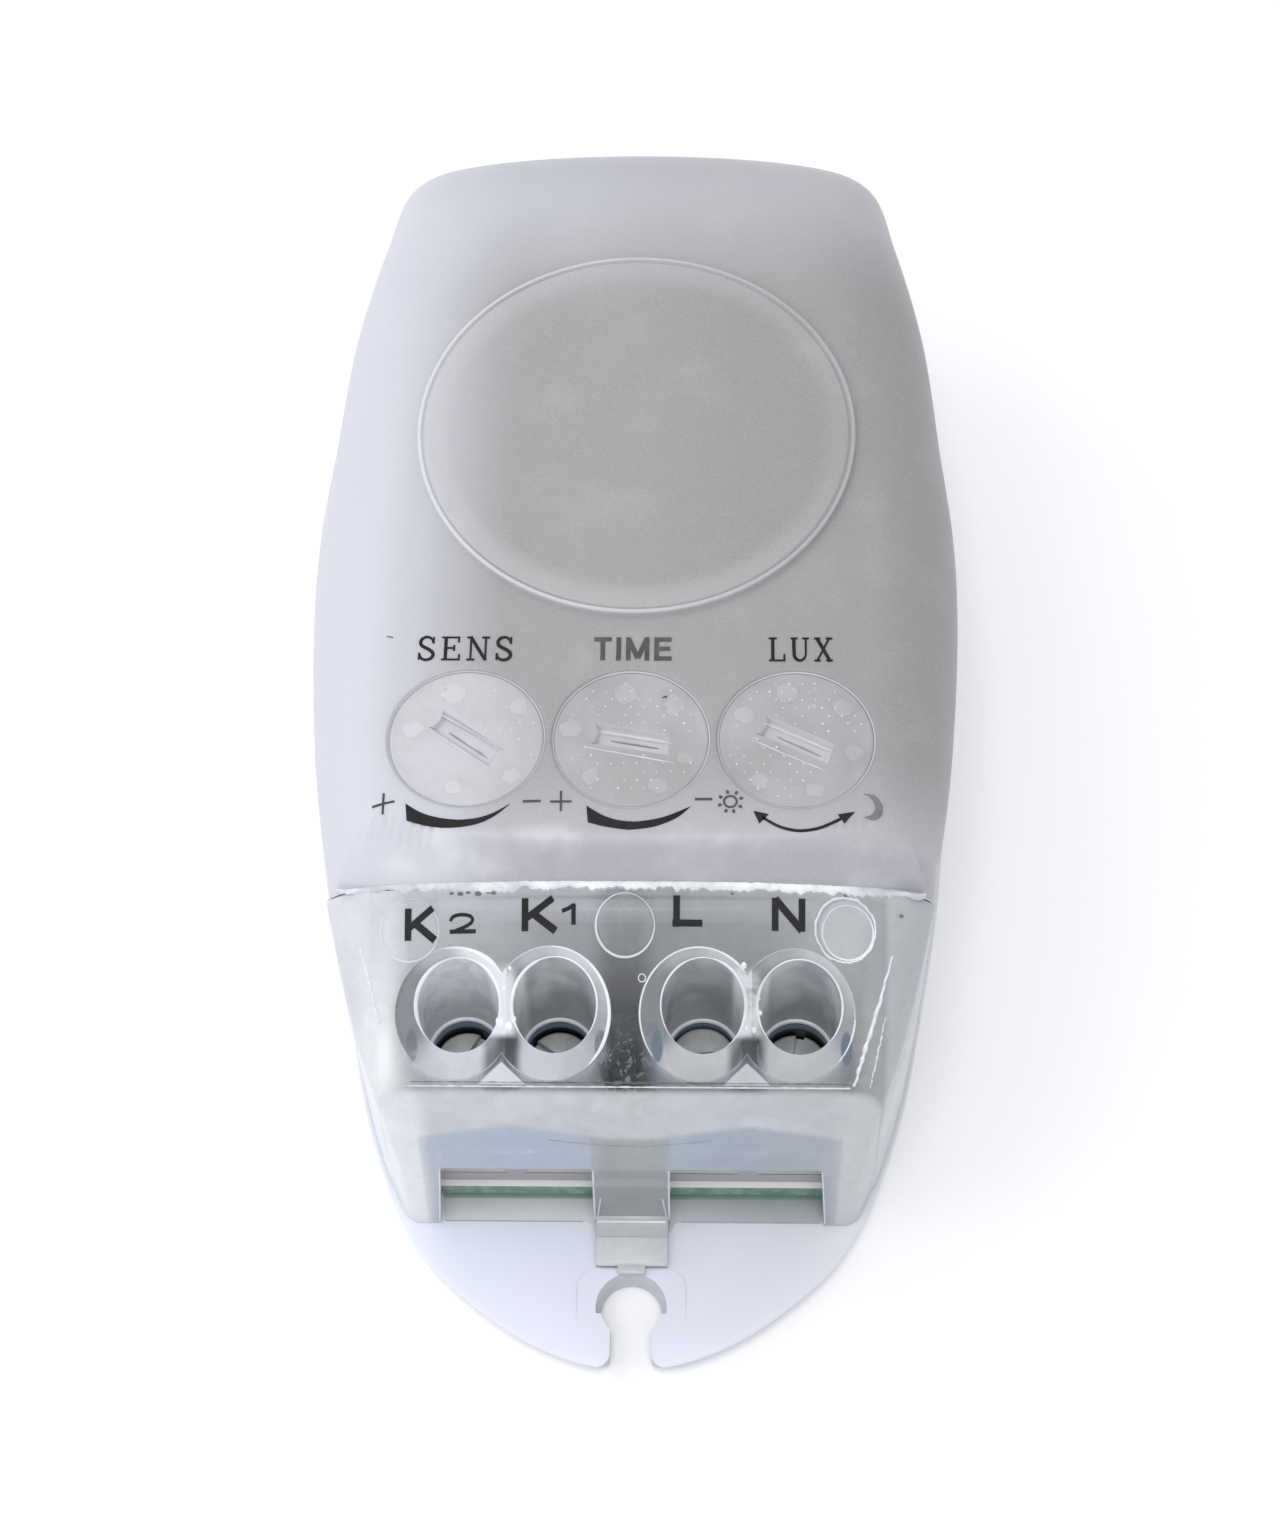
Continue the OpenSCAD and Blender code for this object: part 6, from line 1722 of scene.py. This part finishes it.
# ---------------------------------------------------------------- camera, floor, light
sc = bpy.context.scene
cam_data = bpy.data.cameras.new("camera")
cam = bpy.data.objects.new("camera", cam_data)
sc.collection.objects.link(cam)
cam_data.sensor_fit = "VERTICAL"
cam_data.sensor_height = 36.0
cam_data.sensor_width = 36.0
cam_data.lens = 2800/1513*36.0
cam_data.clip_start = 0.01
cam_data.clip_end = 20
CX, CY, CZ, PITCH, YAW, ROLL = 4.912, -124.056, 224.249, 29.812, 2.187, -1.658
p, yw, rl = (math.radians(v) for v in (PITCH, YAW, ROLL))
fwd = Vector((0, math.sin(p), -math.cos(p)))
up = Vector((0, math.cos(p), math.sin(p)))
rt = Vector((1, 0, 0))
Rz = Matrix.Rotation(yw, 3, "Z")
fwd, up, rt = Rz @ fwd, Rz @ up, Rz @ rt
rt2 = rt*math.cos(rl) + up*math.sin(rl)
up2 = -rt*math.sin(rl) + up*math.cos(rl)
m = Matrix.Identity(4)
for i in range(3):
    m[i][0], m[i][1], m[i][2] = rt2[i], up2[i], -fwd[i]
m[0][3], m[1][3], m[2][3] = CX*MM, CY*MM, CZ*MM
cam.matrix_world = m
sc.camera = cam

floor_me = bpy.data.meshes.new("floor")
floor_me.from_pydata([(-3, -3, -0.0002), (3, -3, -0.0002), (3, 3, -0.0002), (-3, 3, -0.0002)], [], [(0, 1, 2, 3)])
floor = bpy.data.objects.new("floor", floor_me)
sc.collection.objects.link(floor)
T = Tree("floor_look")
vec, x, y, z = T.coords()
n = T.noise(vec, 3.0, 2.0)
pf = T.shader(Base_Color=T.mix(n, (0.955, 0.955, 0.96), (0.975, 0.975, 0.98)), Roughness=0.9, Specular_IOR_Level=0.1)
T.link(pf.outputs[0], T.out.inputs[0])
floor_me.materials.append(T.mat)

world = bpy.data.worlds.new("world")
sc.world = world
world.use_nodes = True
bg = world.node_tree.nodes.get("Background") or world.node_tree.nodes.new("ShaderNodeBackground")
bg.inputs[0].default_value = (0.97, 0.98, 1.0, 1)
bg.inputs[1].default_value = 0.63


def area(name, loc, target, size, power, colour=(1, 1, 1)):
    d = bpy.data.lights.new(name, "AREA")
    d.shape = "RECTANGLE"
    d.size, d.size_y = size
    d.energy = power
    d.color = colour
    o = bpy.data.objects.new(name, d)
    sc.collection.objects.link(o)
    o.location = loc
    o.rotation_euler = (Vector(target) - Vector(loc)).to_track_quat("-Z", "Y").to_euler()
    return o


area("key_left", (-0.75, 0.05, 0.60), (0, 0, 0.01), (0.9, 1.0), 2.7, (0.98, 0.98, 1.0))
area("top_back", (-0.25, 0.75, 0.80), (0, 0, 0.02), (0.7, 0.5), 1.2, (1, 1, 1))
area("front_fill", (0.05, -0.85, 0.45), (0, -0.02, 0.01), (0.8, 0.4), 1.5, (1, 1, 1))
area("overhead", (0.0, -0.10, 0.62), (0, -0.03, 0.01), (0.26, 0.22), 1.15, (1, 1, 1))

sc.view_settings.view_transform = "Standard"
sc.view_settings.look = "None"

# ---------------------------------------------------------------- the end
bpy.context.view_layer.update()
